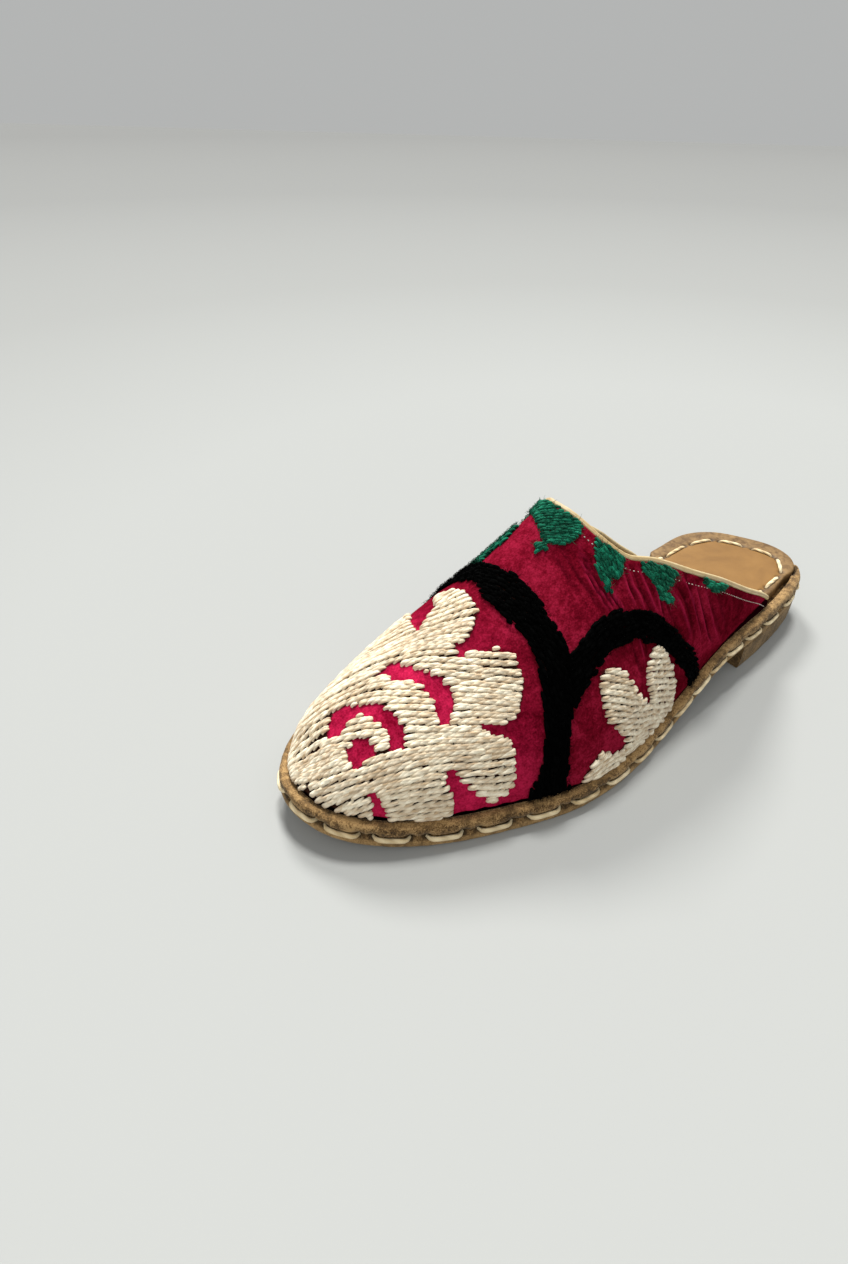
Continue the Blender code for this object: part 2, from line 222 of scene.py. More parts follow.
class Chart:
    """The upper's outside as a table of points over u and s, in millimetres."""

    STATIONS, CLIMBS, STEP, REACH, REAR = 360, 160, 0.5, 130.0, 0.030

    def __init__(self):
        self.turns = np.linspace(math.pi, turn_at(self.REAR), self.STATIONS)
        tops = np.array([ridge(turn) for turn in self.turns]) * MM
        self.u = run_along(tops)
        self.s = np.arange(0, self.REACH + self.STEP, self.STEP)
        self.climbs = np.linspace(1, 0, self.CLIMBS)
        self.points, self.foot, self.top = {}, {}, {}
        for side in (1, -1):
            table = np.zeros((self.STATIONS, len(self.s), 3))
            foot = np.zeros(self.STATIONS)
            for i, turn in enumerate(self.turns):
                down, points = self.rib(turn, side)
                foot[i] = down[-1]
                for axis in range(3):
                    table[i, :, axis] = np.interp(self.s, down, points[:, axis])
                table[i, :, 2] -= np.maximum(self.s - down[-1], 0)
            self.points[side], self.foot[side] = table, foot
            line = [self.of(*topline_at(k / 60, side), side) for k in range(61)]
            self.top[side] = np.array(line)

    def rib(self, turn, side):
        """Distance down from the ridge, and the points, along one whole section."""
        points = rib_points(turn, side, self.climbs) * MM
        down = run_along(points)
        return down + np.arange(self.CLIMBS) * 1e-9, points

    def of(self, turn, climb, side):
        """u and s of a turn and climb."""
        down, _ = self.rib(turn, side)
        return (float(np.interp(-turn, -self.turns, self.u)),
                side * float(np.interp(-climb, -self.climbs, down)))

    def at(self, u, s):
        """Points on the surface."""
        u, s = np.atleast_1d(u).astype(float), np.atleast_1d(s).astype(float)
        i = np.clip(np.searchsorted(self.u, u, side="right") - 1, 0, self.STATIONS - 2)
        f = np.clip((u - self.u[i]) / (self.u[i + 1] - self.u[i]), 0, 1)[:, None]
        a = np.abs(s) / self.STEP
        j = np.clip(a.astype(int), 0, len(self.s) - 2)
        g = (a - j)[:, None]
        made = np.zeros((len(u), 3))
        for side in (1, -1):
            here = (s >= 0) if side > 0 else (s < 0)
            t = self.points[side]
            low = t[i, j] * (1 - f) + t[i + 1, j] * f
            high = t[i, j + 1] * (1 - f) + t[i + 1, j + 1] * f
            made[here] = (low * (1 - g) + high * g)[here]
        return made

    def normal(self, u, s):
        """Outward unit normals."""
        e = 0.6
        u, s = np.atleast_1d(u).astype(float), np.atleast_1d(s).astype(float)
        along = self.at(u + e, s) - self.at(np.maximum(u - e, 0), s)
        down = self.at(u, s + e) - self.at(u, s - e)
        return units(np.cross(down, along))

    def foot_at(self, u, side):
        return np.interp(u, self.u, self.foot[side])

    def top_at(self, u, side):
        """How far down the topline lies: nothing ahead of the throat."""
        line = self.top[side]
        return np.interp(u, line[:, 0], np.abs(line[:, 1]))

    def covers(self, u, s, margin=0.0):
        """Whether a place is on the upper, between topline and welt."""
        side = 1 if s >= 0 else -1
        if not 0.2 <= u <= self.top[side][-1, 0] - margin:
            return False
        if abs(s) > self.foot_at(u, side) - 0.3:
            return False
        throat = self.top[side][0, 0]
        if u < throat - margin:
            return True
        return abs(s) >= self.top_at(u, side) + margin


chart = Chart()


# ---------- meshes

def mesh_object(name, points, faces, finishes, uv=None, values=None):
    """Mesh from points in millimetres. uv has one pair for each face corner."""
    mesh = bpy.data.meshes.new(name)
    mesh.from_pydata((np.asarray(points) / MM).tolist(), [], [tuple(f) for f in faces])
    for finish in finishes:
        mesh.materials.append(finish)
    if uv is not None:
        layer = mesh.uv_layers.new(name="UVMap")
        layer.data.foreach_set("uv", np.asarray(uv, np.float32).ravel())
    for key, column_of in (values or {}).items():
        attribute = mesh.attributes.new(key, "FLOAT", "POINT")
        attribute.data.foreach_set("value", np.asarray(column_of, np.float32))
    mesh.update()
    mesh.shade_smooth()
    made = bpy.data.objects.new(name, mesh)
    bpy.context.scene.collection.objects.link(made)
    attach(made, "root")
    return made


def grid_faces(rows, columns, wrap=False):
    """Quads of a grid of points, row by row; wrap joins the last column to the first."""
    across = columns if wrap else columns - 1
    i, j = np.meshgrid(np.arange(rows - 1), np.arange(across), indexing="ij")
    nxt = (j + 1) % columns
    quads = np.stack([i * columns + j, i * columns + nxt,
                      (i + 1) * columns + nxt, (i + 1) * columns + j], -1)
    return quads.reshape(-1, 4)


def tubes(name, centres, normals, radii, finish, sides=7, flat=0.85, pitch=4.0):
    """Many short closed tubes as one mesh. centres is (tubes, steps, 3); radii (tubes, steps)."""
    count, steps, _ = centres.shape
    along = units(np.gradient(centres, axis=1))
    across = units(np.cross(along, normals))
    up = units(np.cross(across, along))
    angle = np.arange(sides) * 2 * math.pi / sides
    ring = (across[:, :, None] * np.cos(angle)[None, None, :, None]
            + up[:, :, None] * np.sin(angle)[None, None, :, None] * flat)
    body = centres[:, :, None] + ring * radii[:, :, None, None]
    ends = np.stack([centres[:, 0] - along[:, 0] * radii[:, :1] * 0.6,
                     centres[:, -1] + along[:, -1] * radii[:, -1:] * 0.6], 1)
    per = steps * sides + 2
    points = np.concatenate([body.reshape(count, -1, 3), ends], 1).reshape(-1, 3)
    quads = grid_faces(steps, sides, wrap=True)
    k = np.arange(sides)
    first = np.stack([k, np.full(sides, steps * sides), (k + 1) % sides], -1)
    last_ring = (steps - 1) * sides
    last = np.stack([last_ring + k, last_ring + (k + 1) % sides,
                     np.full(sides, steps * sides + 1)], -1)
    length = np.concatenate([np.zeros((count, 1)), np.cumsum(np.linalg.norm(
        np.diff(centres, axis=1), axis=2), axis=1)], 1) / pitch
    starts = (np.arange(count) * per)[:, None, None]
    all_quads = (quads[None] + starts).reshape(-1, 4)
    all_tris = (np.concatenate([first, last])[None] + starts).reshape(-1, 3)
    step_of, side_of = quads // sides, quads % sides
    wrapped = np.where((side_of == 0) & (np.arange(4)[None] % 3 != 0), sides, side_of)
    v = wrapped / sides
    quad_uv = np.stack([length[:, step_of], np.broadcast_to(v, (count, *v.shape))], -1)
    tri_uv = np.zeros((len(all_tris), 3, 2))
    faces = all_quads.tolist() + all_tris.tolist()
    uv = np.concatenate([quad_uv.reshape(-1, 2), tri_uv.reshape(-1, 2)])
    tint = rng.random(count)
    return mesh_object(name, points, faces, [finish], uv=uv,
                       values={"tint": np.repeat(tint, per)})


# ---------- materials

def new_material(name, roughness=0.8, sheen=0.0, sheen_tint=(1, 1, 1), sheen_roughness=0.4,
                 specular=0.5):
    made = bpy.data.materials.new(name)
    made.use_nodes = True
    shader = made.node_tree.nodes["Principled BSDF"]
    shader.inputs["Roughness"].default_value = roughness
    shader.inputs["Sheen Weight"].default_value = sheen
    shader.inputs["Sheen Tint"].default_value = (*sheen_tint, 1)
    shader.inputs["Sheen Roughness"].default_value = sheen_roughness
    shader.inputs["Specular IOR Level"].default_value = specular
    return made, made.node_tree, shader


def place(tree, kind="Object"):
    return tree.nodes.new("ShaderNodeTexCoord").outputs[kind]


def noise(tree, source, scale, detail=3.0, roughness=0.55, distortion=0.0):
    node = tree.nodes.new("ShaderNodeTexNoise")
    node.inputs["Scale"].default_value = scale
    node.inputs["Detail"].default_value = detail
    node.inputs["Roughness"].default_value = roughness
    node.inputs["Distortion"].default_value = distortion
    tree.links.new(source, node.inputs["Vector"])
    return node.outputs["Fac"]


def ramp(tree, source, *stops):
    """Float or colour ramp: stops are (place, grey or colour)."""
    node = tree.nodes.new("ShaderNodeValToRGB")
    elements = node.color_ramp.elements
    while len(elements) < len(stops):
        elements.new(0.5)
    for element, (at, value) in zip(elements, stops):
        element.position = at
        element.color = (*value, 1) if isinstance(value, tuple) else (value, value, value, 1)
    tree.links.new(source, node.inputs["Fac"])
    return node.outputs["Color"]


def attribute(tree, name):
    node = tree.nodes.new("ShaderNodeAttribute")
    node.attribute_name = name
    return node.outputs["Fac"]


def calc(tree, operation, *terms):
    node = tree.nodes.new("ShaderNodeMath")
    node.operation = operation
    for slot, term in zip(node.inputs, terms):
        if isinstance(term, (int, float)):
            slot.default_value = term
        else:
            tree.links.new(term, slot)
    return node.outputs["Value"]


def mix(tree, factor, first, second):
    node = tree.nodes.new("ShaderNodeMix")
    node.data_type = "RGBA"
    for slot, term in ((node.inputs[0], factor), (node.inputs[6], first),
                       (node.inputs[7], second)):
        if isinstance(term, tuple):
            slot.default_value = (*term, 1)
        elif isinstance(term, (int, float)):
            slot.default_value = term
        else:
            tree.links.new(term, slot)
    return node.outputs[2]


def bump(tree, height, distance, strength=1.0, below=None):
    node = tree.nodes.new("ShaderNodeBump")
    node.inputs["Strength"].default_value = strength
    node.inputs["Distance"].default_value = distance
    tree.links.new(height, node.inputs["Height"])
    if below is not None:
        tree.links.new(below, node.inputs["Normal"])
    return node.outputs["Normal"]


def wear(tree, shader, colour, *bumps):
    """Connects colour and a stack of (height, distance, strength) bumps."""
    tree.links.new(colour, shader.inputs["Base Color"])
    below = None
    for height, distance, strength in bumps:
        below = bump(tree, height, distance, strength, below)
    if below is not None:
        tree.links.new(below, shader.inputs["Normal"])


def velvet_material():
    made, tree, shader = new_material("crimson_velvet", 0.85, 0.05, (1.0, 0.06, 0.17), 0.30, 0.0)
    spot = place(tree)
    pile = noise(tree, spot, 1500, 2.0, 0.6)
    fleck = noise(tree, spot, 520, 3.0, 0.65)
    cloud = noise(tree, spot, 48, 3.0, 0.6, 0.8)
    nap = calc(tree, "ADD", calc(tree, "MULTIPLY", pile, 0.30),
               calc(tree, "ADD", calc(tree, "MULTIPLY", fleck, 0.30),
                    calc(tree, "MULTIPLY", cloud, 0.55)))
    colour = ramp(tree, nap, (0.44, (0.062, 0.0009, 0.0042)), (0.57, (0.150, 0.0034, 0.0130)),
                  (0.70, (0.300, 0.0110, 0.0370)))
    # Painted shade: the velvet darkens to near black in the crease troughs.
    painted_recess_shade = ramp(tree, attribute(tree, "crease"), (0.0, 0.0), (0.8, 1.0))
    colour = mix(tree, calc(tree, "MULTIPLY", painted_recess_shade, 0.85), colour, (0.008, 0.0001, 0.001))
    # Painted light: the velvet is painted brighter and pinker towards the toe.
    painted_highlight_tone = ramp(tree, nap, (0.44, (0.200, 0.0020, 0.0180)), (0.70, (0.700, 0.0200, 0.1000)))
    colour = mix(tree, attribute(tree, "painted_toe_light"), colour, painted_highlight_tone)
    # Painted shade: the velvet under the threads is painted dark brown, so the gaps between
    # stitches look dark.
    colour = mix(tree, attribute(tree, "under"), colour, (0.030, 0.012, 0.008))
    # Painted highlight: the standing folds are painted a bright pink.
    lit = ramp(tree, attribute(tree, "painted_fold_highlight"), (0.0, 0.0), (1.0, 0.8))
    colour = mix(tree, lit, colour, (0.560, 0.022, 0.095))
    # Painted shade: a near-black ragged strip along the velvet's foot where it meets the welt.
    ragged = calc(tree, "ADD", attribute(tree, "hem"), calc(tree, "MULTIPLY", fleck, 0.5))
    hem = ramp(tree, ragged, (0.62, 0.0), (0.70, 1.0))
    colour = mix(tree, hem, colour, (0.0005, 0.0004, 0.0004))
    wear(tree, shader, colour, (fleck, 0.0005, 0.5), (pile, 0.00025, 0.6))
    return made


def lining_material():
    made, tree, shader = new_material("lining_cloth", 0.9, 0.2, (0.6, 0.6, 0.6), 0.5, 0.2)
    spot = place(tree)
    weave = noise(tree, spot, 2200, 2.0, 0.5)
    cloud = noise(tree, spot, 60, 3.0)
    colour = ramp(tree, cloud, (0.3, (0.010, 0.008, 0.008)), (0.7, (0.024, 0.018, 0.018)))
    wear(tree, shader, colour, (weave, 0.0002, 0.5))
    return made


def thread_material(name, dark, light, twist=0.00035, sheen=0.2, sheen_tint=(1, 1, 1),
                    dirt=(0.30, 0.20, 0.12), dirt_share=0.25, gloss=0.2):
    made, tree, shader = new_material(name, 0.85, sheen, sheen_tint, 0.5, gloss)
    spot = place(tree)
    uv = place(tree, "UV")
    split = tree.nodes.new("ShaderNodeSeparateXYZ")
    tree.links.new(uv, split.inputs["Vector"])
    plies = calc(tree, "SINE", calc(tree, "MULTIPLY", calc(
        tree, "ADD", calc(tree, "MULTIPLY", split.outputs["X"], 1.0),
        calc(tree, "MULTIPLY", split.outputs["Y"], 2.0)), FULL_TURN))
    plies = calc(tree, "MULTIPLY_ADD", plies, 0.5, 0.5)
    # Painted shade: each thread darkens on its underside.
    round_it = calc(tree, "SINE", calc(tree, "MULTIPLY", split.outputs["Y"], FULL_TURN))
    painted_underside_shade = ramp(tree, calc(tree, "MULTIPLY_ADD", round_it, -0.5, 0.5), (0.42, 0.0),
                   (0.80, 0.85))
    fibre = noise(tree, spot, 2600, 3.0, 0.65)
    cloud = noise(tree, spot, 70, 3.0, 0.55)
    # The tone varies at random and with the fibres, and the grooves between the plies are painted
    # darker as shade.
    tone = calc(tree, "ADD", calc(tree, "MULTIPLY", attribute(tree, "tint"), 0.45),
                calc(tree, "ADD", calc(tree, "MULTIPLY", fibre, 0.35),
                     calc(tree, "MULTIPLY", plies, 0.25)))
    colour = ramp(tree, tone, (0.20, dark), (0.80, light))
    grime = ramp(tree, cloud, (0.45, 0.0), (0.75, dirt_share))
    colour = mix(tree, grime, colour, dirt)
    colour = mix(tree, painted_underside_shade, colour, tuple(c * 0.3 for c in dark))
    wear(tree, shader, colour, (plies, twist, 0.8), (fibre, 0.00018, 0.7))
    return made


def leather_material(name, dark, mid, light, grain=900, speckle=0.55, rough=0.85, relief=0.0003):
    made, tree, shader = new_material(name, rough, 0.15, (1.0, 0.85, 0.6), 0.5, 0.25)
    spot = place(tree)
    fine = noise(tree, spot, grain * 2.2, 3.0, 0.7)
    coarse = noise(tree, spot, grain * 0.45, 4.0, 0.6)
    cloud = noise(tree, spot, 75, 4.0, 0.6, 0.4)
    tone = calc(tree, "ADD", calc(tree, "MULTIPLY", fine, speckle),
                calc(tree, "ADD", calc(tree, "MULTIPLY", coarse, 0.35),
                     calc(tree, "MULTIPLY", cloud, 0.65 - speckle / 2)))
    colour = ramp(tree, tone, (0.55, dark), (0.63, mid), (0.72, light))
    # Painted shade: the leather darkens where it is drawn in at the stitch holes.
    painted_recess_shade = ramp(tree, attribute(tree, "pinch"), (0.05, 0.0), (0.9, 0.9))
    colour = mix(tree, painted_recess_shade, colour, tuple(c * 0.18 for c in dark))
    worn = ramp(tree, attribute(tree, "worn"), (0.0, 0.0), (1.0, 0.75))
    colour = mix(tree, calc(tree, "MULTIPLY", worn, coarse), colour, light)
    wear(tree, shader, colour, (coarse, relief * 1.6, 0.6), (fine, relief, 0.7))
    return made


def insole_material():
    made, tree, shader = new_material("insole_leather_top", 0.6, 0.0, specular=0.25)
    spot = place(tree)
    fine = noise(tree, spot, 2400, 3.0, 0.6)
    cloud = noise(tree, spot, 38, 4.0, 0.6, 0.5)
    smooth = ramp(tree, cloud, (0.30, (0.190, 0.092, 0.022)), (0.52, (0.245, 0.124, 0.031)),
                  (0.75, (0.285, 0.150, 0.042)))
    rough = noise(tree, spot, 260, 5.0, 0.62, 0.6)
    mottle = ramp(tree, rough, (0.36, (0.110, 0.058, 0.020)), (0.52, (0.205, 0.120, 0.046)),
                  (0.70, (0.290, 0.178, 0.072)))
    edge_share = calc(tree, "ADD", attribute(tree, "margin"),
                      calc(tree, "MULTIPLY", calc(tree, "SUBTRACT", rough, 0.5), 0.5))
    outer = ramp(tree, edge_share, (0.45, 0.0), (0.60, 1.0))
    colour = mix(tree, outer, smooth, mottle)
    # Painted shade: the insole darkens in the dimples at its stitch holes and along the channel.
    painted_recess_shade = ramp(tree, attribute(tree, "pinch"), (0.1, 0.0), (0.9, 0.85))
    colour = mix(tree, painted_recess_shade, colour, (0.030, 0.015, 0.006))
    wear(tree, shader, colour, (rough, 0.00025, 0.5), (fine, 0.00010, 0.5))
    return made


def binding_material():
    made, tree, shader = new_material("cream_leather", 0.50, 0.0, specular=0.4)
    spot = place(tree)
    fine = noise(tree, spot, 1800, 3.0, 0.6)
    cloud = noise(tree, spot, 110, 4.0, 0.6)
    colour = ramp(tree, cloud, (0.28, (0.440, 0.300, 0.130)), (0.5, (0.600, 0.470, 0.250)),
                  (0.75, (0.680, 0.560, 0.340)))
    # Painted shade: the binding darkens in its groove.
    groove = ramp(tree, attribute(tree, "pinch"), (0.0, 0.0), (1.0, 0.7))
    colour = mix(tree, groove, colour, (0.300, 0.170, 0.060))
    wear(tree, shader, colour, (fine, 0.00015, 0.5), (cloud, 0.0006, 0.4))
    return made


VELVET, LINING = velvet_material(), lining_material()
CREAM = thread_material("cream_cotton", (0.560, 0.410, 0.250), (0.960, 0.880, 0.690), 0.0003)
GREEN = thread_material("green_cotton", (0.0008, 0.032, 0.018), (0.012, 0.230, 0.130), 0.0003,
                        0.12, (0.3, 1.0, 0.6), (0.0005, 0.012, 0.007), 0.6, 0.05)
WOOL = thread_material("black_wool", (0.0000, 0.0000, 0.0000), (0.0008, 0.0009, 0.0009), 0.0003,
                       0.0, (0.7, 0.8, 1.0), (0.0, 0.0, 0.0), 0.2, 0.02)
COTTON = thread_material("white_cotton", (0.45, 0.36, 0.32), (0.70, 0.62, 0.56), 0.0001)
WAXED = thread_material("waxed_thread", (0.620, 0.460, 0.240), (0.950, 0.800, 0.520), 0.0004, 0.1)
LEATHER = leather_material("sole_leather", (0.030, 0.014, 0.004), (0.150, 0.080, 0.026),
                           (0.420, 0.262, 0.108))
HEEL = leather_material("heel_leather_side", (0.040, 0.020, 0.007), (0.110, 0.062, 0.022),
                        (0.230, 0.140, 0.056), grain=600)
INSOLE, CREAM_LEATHER = insole_material(), binding_material()


# ---------- outlines on the chart

TOE_FLOWER = [
    (-3, 0), (0, 8), (3.5, 12), (5.8, 17), (8.8, 22), (13.3, 28), (17, 35), (21.5, 35),
    (22.3, 27.9), (22.1, 23.4), (24.3, 25.9), (24.7, 31.4), (25.3, 40), (35.8, 49), (47.3, 58),
    (47.9, 46.6), (46.2, 37.2), (49.4, 36.9), (50.6, 41.7), (56, 51.2), (60, 56.9), (65.4, 57.9),
    (69.7, 55.3), (70.8, 49.2), (70.8, 42.8), (67.3, 38.3), (63.4, 34.2), (63.3, 31.2),
    (71.7, 37.1), (76.8, 37.3), (79.7, 34.4), (83.2, 30.4), (84.2, 23.1), (80.7, 16.4),
    (75.1, 13.3), (68.8, 9.6), (70.7, 5.6), (75.1, 7.2), (79.7, 5.1), (84.6, 1.2), (87.2, -7.4),
    (87.3, -15.2), (85.5, -23.0), (81.5, -23.5), (77.3, -15.8), (65.6, -11.5),
    (70, -21.8), (76, -31), (77, -38), (73, -44), (66, -44), (60, -39), (55.5, -33.5),
    (60, -42), (62.5, -49), (60.5, -58), (51, -60), (46, -53), (45, -44), (41.5, -38),
    (40, -45), (39, -52), (20, -42), (8, -26), (0, -12),
]
CRESCENT_OUT = [
    (44.7, -5.7), (50.5, -6.6), (54.6, 2.3), (58.1, 8.6), (59.8, 13.8), (58.8, 19.3),
    (54.6, 23.7), (52.1, 25.0), (51.5, 20.8), (53.4, 16.8), (52.9, 10.0), (50.5, 4.6), (47.1, 0.0),
]
CRESCENT_IN = [
    (22.3, -4.8), (27.7, -6.2), (35.7, 0.5), (39.1, 7.0), (39.9, 14.8), (38.8, 18.7),
    (35.8, 20.8), (33.9, 18.6), (35.7, 14.1), (34.8, 8.2), (32.2, 2.9), (27.3, 0.5), (20.3, 2.0),
    (18.4, 0.7),
]
FLOWER_EYE = [(21.8, 8.4), (25.2, 8.0), (28.9, 11.3), (29.0, 14.7), (27.0, 15.9), (20.9, 14.2),
              (20.5, 11.0)]
TWIN_LEAF = [
    (113.6, 53.5), (118.6, 56.4), (123.3, 60.1), (128.1, 68.9), (133.1, 80.0), (140.5, 89.5),
    (137.2, 78.2), (137.8, 71.0), (143.8, 70.3), (151.6, 76.5), (158.3, 89.9), (161.2, 98.8),
    (159.6, 116), (141.7, 116), (123.8, 106), (99.9, 94), (88, 90), (97.5, 77.3), (101.4, 75.9),
    (106.4, 76.8), (113.8, 84.9), (118.6, 89.0), (121.6, 88.6), (120.9, 85.4), (110.7, 68.5),
    (109.0, 60.3), (110.3, 53.8),
]
INNER_LEAF = [
    (108, -58), (113, -55), (119, -58), (123, -65), (126, -73), (128.5, -67), (133, -66),
    (137, -72), (139, -90), (100, -88), (97, -75), (102, -73), (109, -77), (110.5, -73),
    (107, -66),
]
BAND_ONE = [
    (104.4, -23.9), (99.8, -5.9), (101.5, 2.9), (102.4, 12.9), (101.7, 22.4), (102.0, 30.8),
    (101.4, 38.0), (98.3, 49.4), (92.8, 53.8), (89.7, 63.8), (89.3, 72.1), (93, 82), (70, 72),
    (74.3, 64.9), (77.3, 60.6), (80.2, 56.1), (83.9, 46.5), (87.2, 37.9), (88.7, 31.5),
    (90.5, 24.8), (89.7, 17.6), (88.9, 10.0), (87.9, 0.2), (91.0, -7.0), (93.1, -12.2),
    (91.7, -27.2), (92, -37), (90, -46), (86, -55), (82, -64), (78, -76), (93, -84), (94, -67),
    (97, -58), (101, -48), (104, -36),
]
BAND_TWO = [
    (98.5, 40.0), (101.7, 37.6), (115.9, 39.8), (122.5, 41.4), (131.6, 46.7), (141.2, 53.6),
    (152.1, 64.8), (160.8, 76.7), (168.6, 87.5), (176.1, 98.5), (182, 114), (174, 114),
    (172.3, 106.1), (166.4, 96.5), (157.2, 83.3), (146.2, 70.3), (135.3, 59.9), (126.5, 54.6),
    (115.7, 50.8), (108.2, 50.2), (96, 51.5),
]
BAND_THREE = [
    (100, -44), (112, -37), (122, -37), (132, -42), (141, -51), (148, -61), (153, -72),
    (155, -92), (143, -92), (142, -76), (136, -65), (129, -56), (121, -50), (113, -49),
    (106, -53), (96, -60),
]
GREEN_TUFTS = [
    [(129.5, -11.0), (133.5, -4.0), (134.5, 4.6), (136.5, 10.4), (136.0, 16.1), (129.7, 17.2),
     (124.7, 15.7), (118.3, 9.0), (117.8, 5.8), (121.6, 0.0)],
    [(114.5, 3.8), (118.8, 8.0), (117.0, 10.4), (112.5, 6.4)],
    [(135.9, 21.5), (140.6, 26.9), (146.0, 34.0), (138.7, 38.5), (135.8, 38.9), (131.8, 35.4),
     (130.0, 39.2), (128.0, 37.2), (128.2, 32.0), (129.0, 28.4), (132.0, 24.5)],
    [(148.5, 38.0), (157.0, 45.2), (166.6, 54.0), (165.8, 56.4), (166.8, 59.8), (163.4, 61.0),
     (158.8, 59.9), (158.6, 60.4), (162.8, 67.0), (157.9, 65.0), (153.8, 59.4), (152.9, 55.0),
     (151.8, 51.2), (149.5, 46.2)],
    [(177.0, 62.0), (186.1, 67.6), (195.4, 72.0), (194.6, 77.4), (191.4, 77.8), (185.4, 75.6),
     (181.6, 71.8), (179.3, 67.9)],
    [(101, -15.5), (108, -13.5), (114, -9.5), (121, -8.5), (124, -13), (123, -20), (117, -25),
     (109, -26), (103, -22)],
    [(135, -11.5), (144, -18.5), (138, -27), (133, -30), (131, -26), (129, -31), (127, -25),
     (130, -17)],
    [(152, -24.0), (165, -35.0), (160, -44), (155, -42), (157, -50), (151, -45), (149, -36)],
    [(176, -46.0), (188, -56.0), (184, -65), (178, -62), (175, -56)],
]

# Which way the rows of stitches run: u, s and the angle from u towards s, in degrees
FLOWER_ROWS = [
    (11.9, -10.3, 25), (20, -9.8, 21), (33.7, -10.1, 27), (44.1, -9.3, 30), (15.5, 6.3, 34),
    (10.2, 12.1, 32), (14.4, 23.1, 31), (25.1, 5.8, 35), (31.1, 9.4, 39), (41.5, 3.7, 47),
    (48.9, 9.2, 43), (46, 17.9, 39), (58.5, -8, 31), (61.9, 3.3, 45), (64.1, 11.6, 48),
    (78.6, -7.2, 35), (69.8, 0.7, 42), (70.9, 18.7, 41), (76, 29, 43), (69.9, 33.2, 38),
    (58.2, 31.5, 34), (47.6, 28.5, 31), (65.5, 42.4, 28), (63.4, 50.4, 33), (56.8, 49.9, 37),
    (33.3, 25.1, 25), (41.9, 32.2, 30), (30.4, 32.5, 34), (42.5, 46.8, 36), (26.3, 19.6, 24),
    (50, -40, 30), (30, -30, 28), (70, -35, 33),
]
LEAF_ROWS = [(116, 60.2, 44), (118.3, 71.3, 45), (124.8, 87.2, 45), (149.5, 80.6, 38),
             (147.8, 89.3, 40), (142.2, 95, 41), (126.4, 95.3, 23), (109.4, 86.5, 30),
             (100.6, 80.9, 21)]
INNER_LEAF_ROWS = [(115, -65, 32), (130, -75, 36), (105, -77, 20)]
BAND_ONE_ROWS = [(93.5, -19, 79), (93.9, -7.3, 92), (93.7, 5.9, 87), (94.9, 18.3, 87),
                 (94.9, 29.6, 93), (93, 41.8, 112), (86.1, 53.5, 109), (82.8, 65.9, 108),
                 (97, -30, 88), (96, -45, 75), (90, -58, 68), (87, -70, 72)]
BAND_TWO_ROWS = [(105.8, 45.4, 16), (119, 47, 18), (131.7, 49.9, 32), (140.3, 58.1, 42),
                 (150, 71.4, 50), (161, 85.9, 52), (173.4, 101.6, 50)]
BAND_THREE_ROWS = [(106, -47, 29), (117, -43, 0), (127, -47, -31), (136, -54, -48),
                   (143, -64, -61), (147, -80, -82)]
TUFT_ROWS = [
    [(128, 0.2, 53), (132.1, 9.8, 53), (122.9, 9, 52)], [(115.6, 6.9, 30)],
    [(137.6, 29.4, 87), (130, 32.6, 106)], [(153.1, 46.7, 68), (158.4, 55.6, 62)],
    [(183.8, 70.6, 35)], [(112, -18, 40)], [(134, -22, -70)], [(156, -38, -60)],
    [(180, -57, -50)],
]


def within(outline, u, s):
    """Whether a place is inside a closed outline."""
    inside = False
    u1, s1 = outline[-1]
    for u2, s2 in outline:
        if (s1 > s) != (s2 > s) and u < (u2 - u1) * (s - s1) / (s2 - s1) + u1:
            inside = not inside
        u1, s1 = u2, s2
    return inside


def heading(samples):
    """Direction field through the listed samples."""
    table = np.array(samples, float)
    cos2, sin2 = np.cos(np.radians(2 * table[:, 2])), np.sin(np.radians(2 * table[:, 2]))

    def at(u, s):
        weight = 1 / ((table[:, 0] - u) ** 2 + (table[:, 1] - s) ** 2 + 9.0) ** 1.5
        angle = 0.5 * math.atan2(float(weight @ sin2), float(weight @ cos2))
        return math.cos(angle), math.sin(angle)

    return at


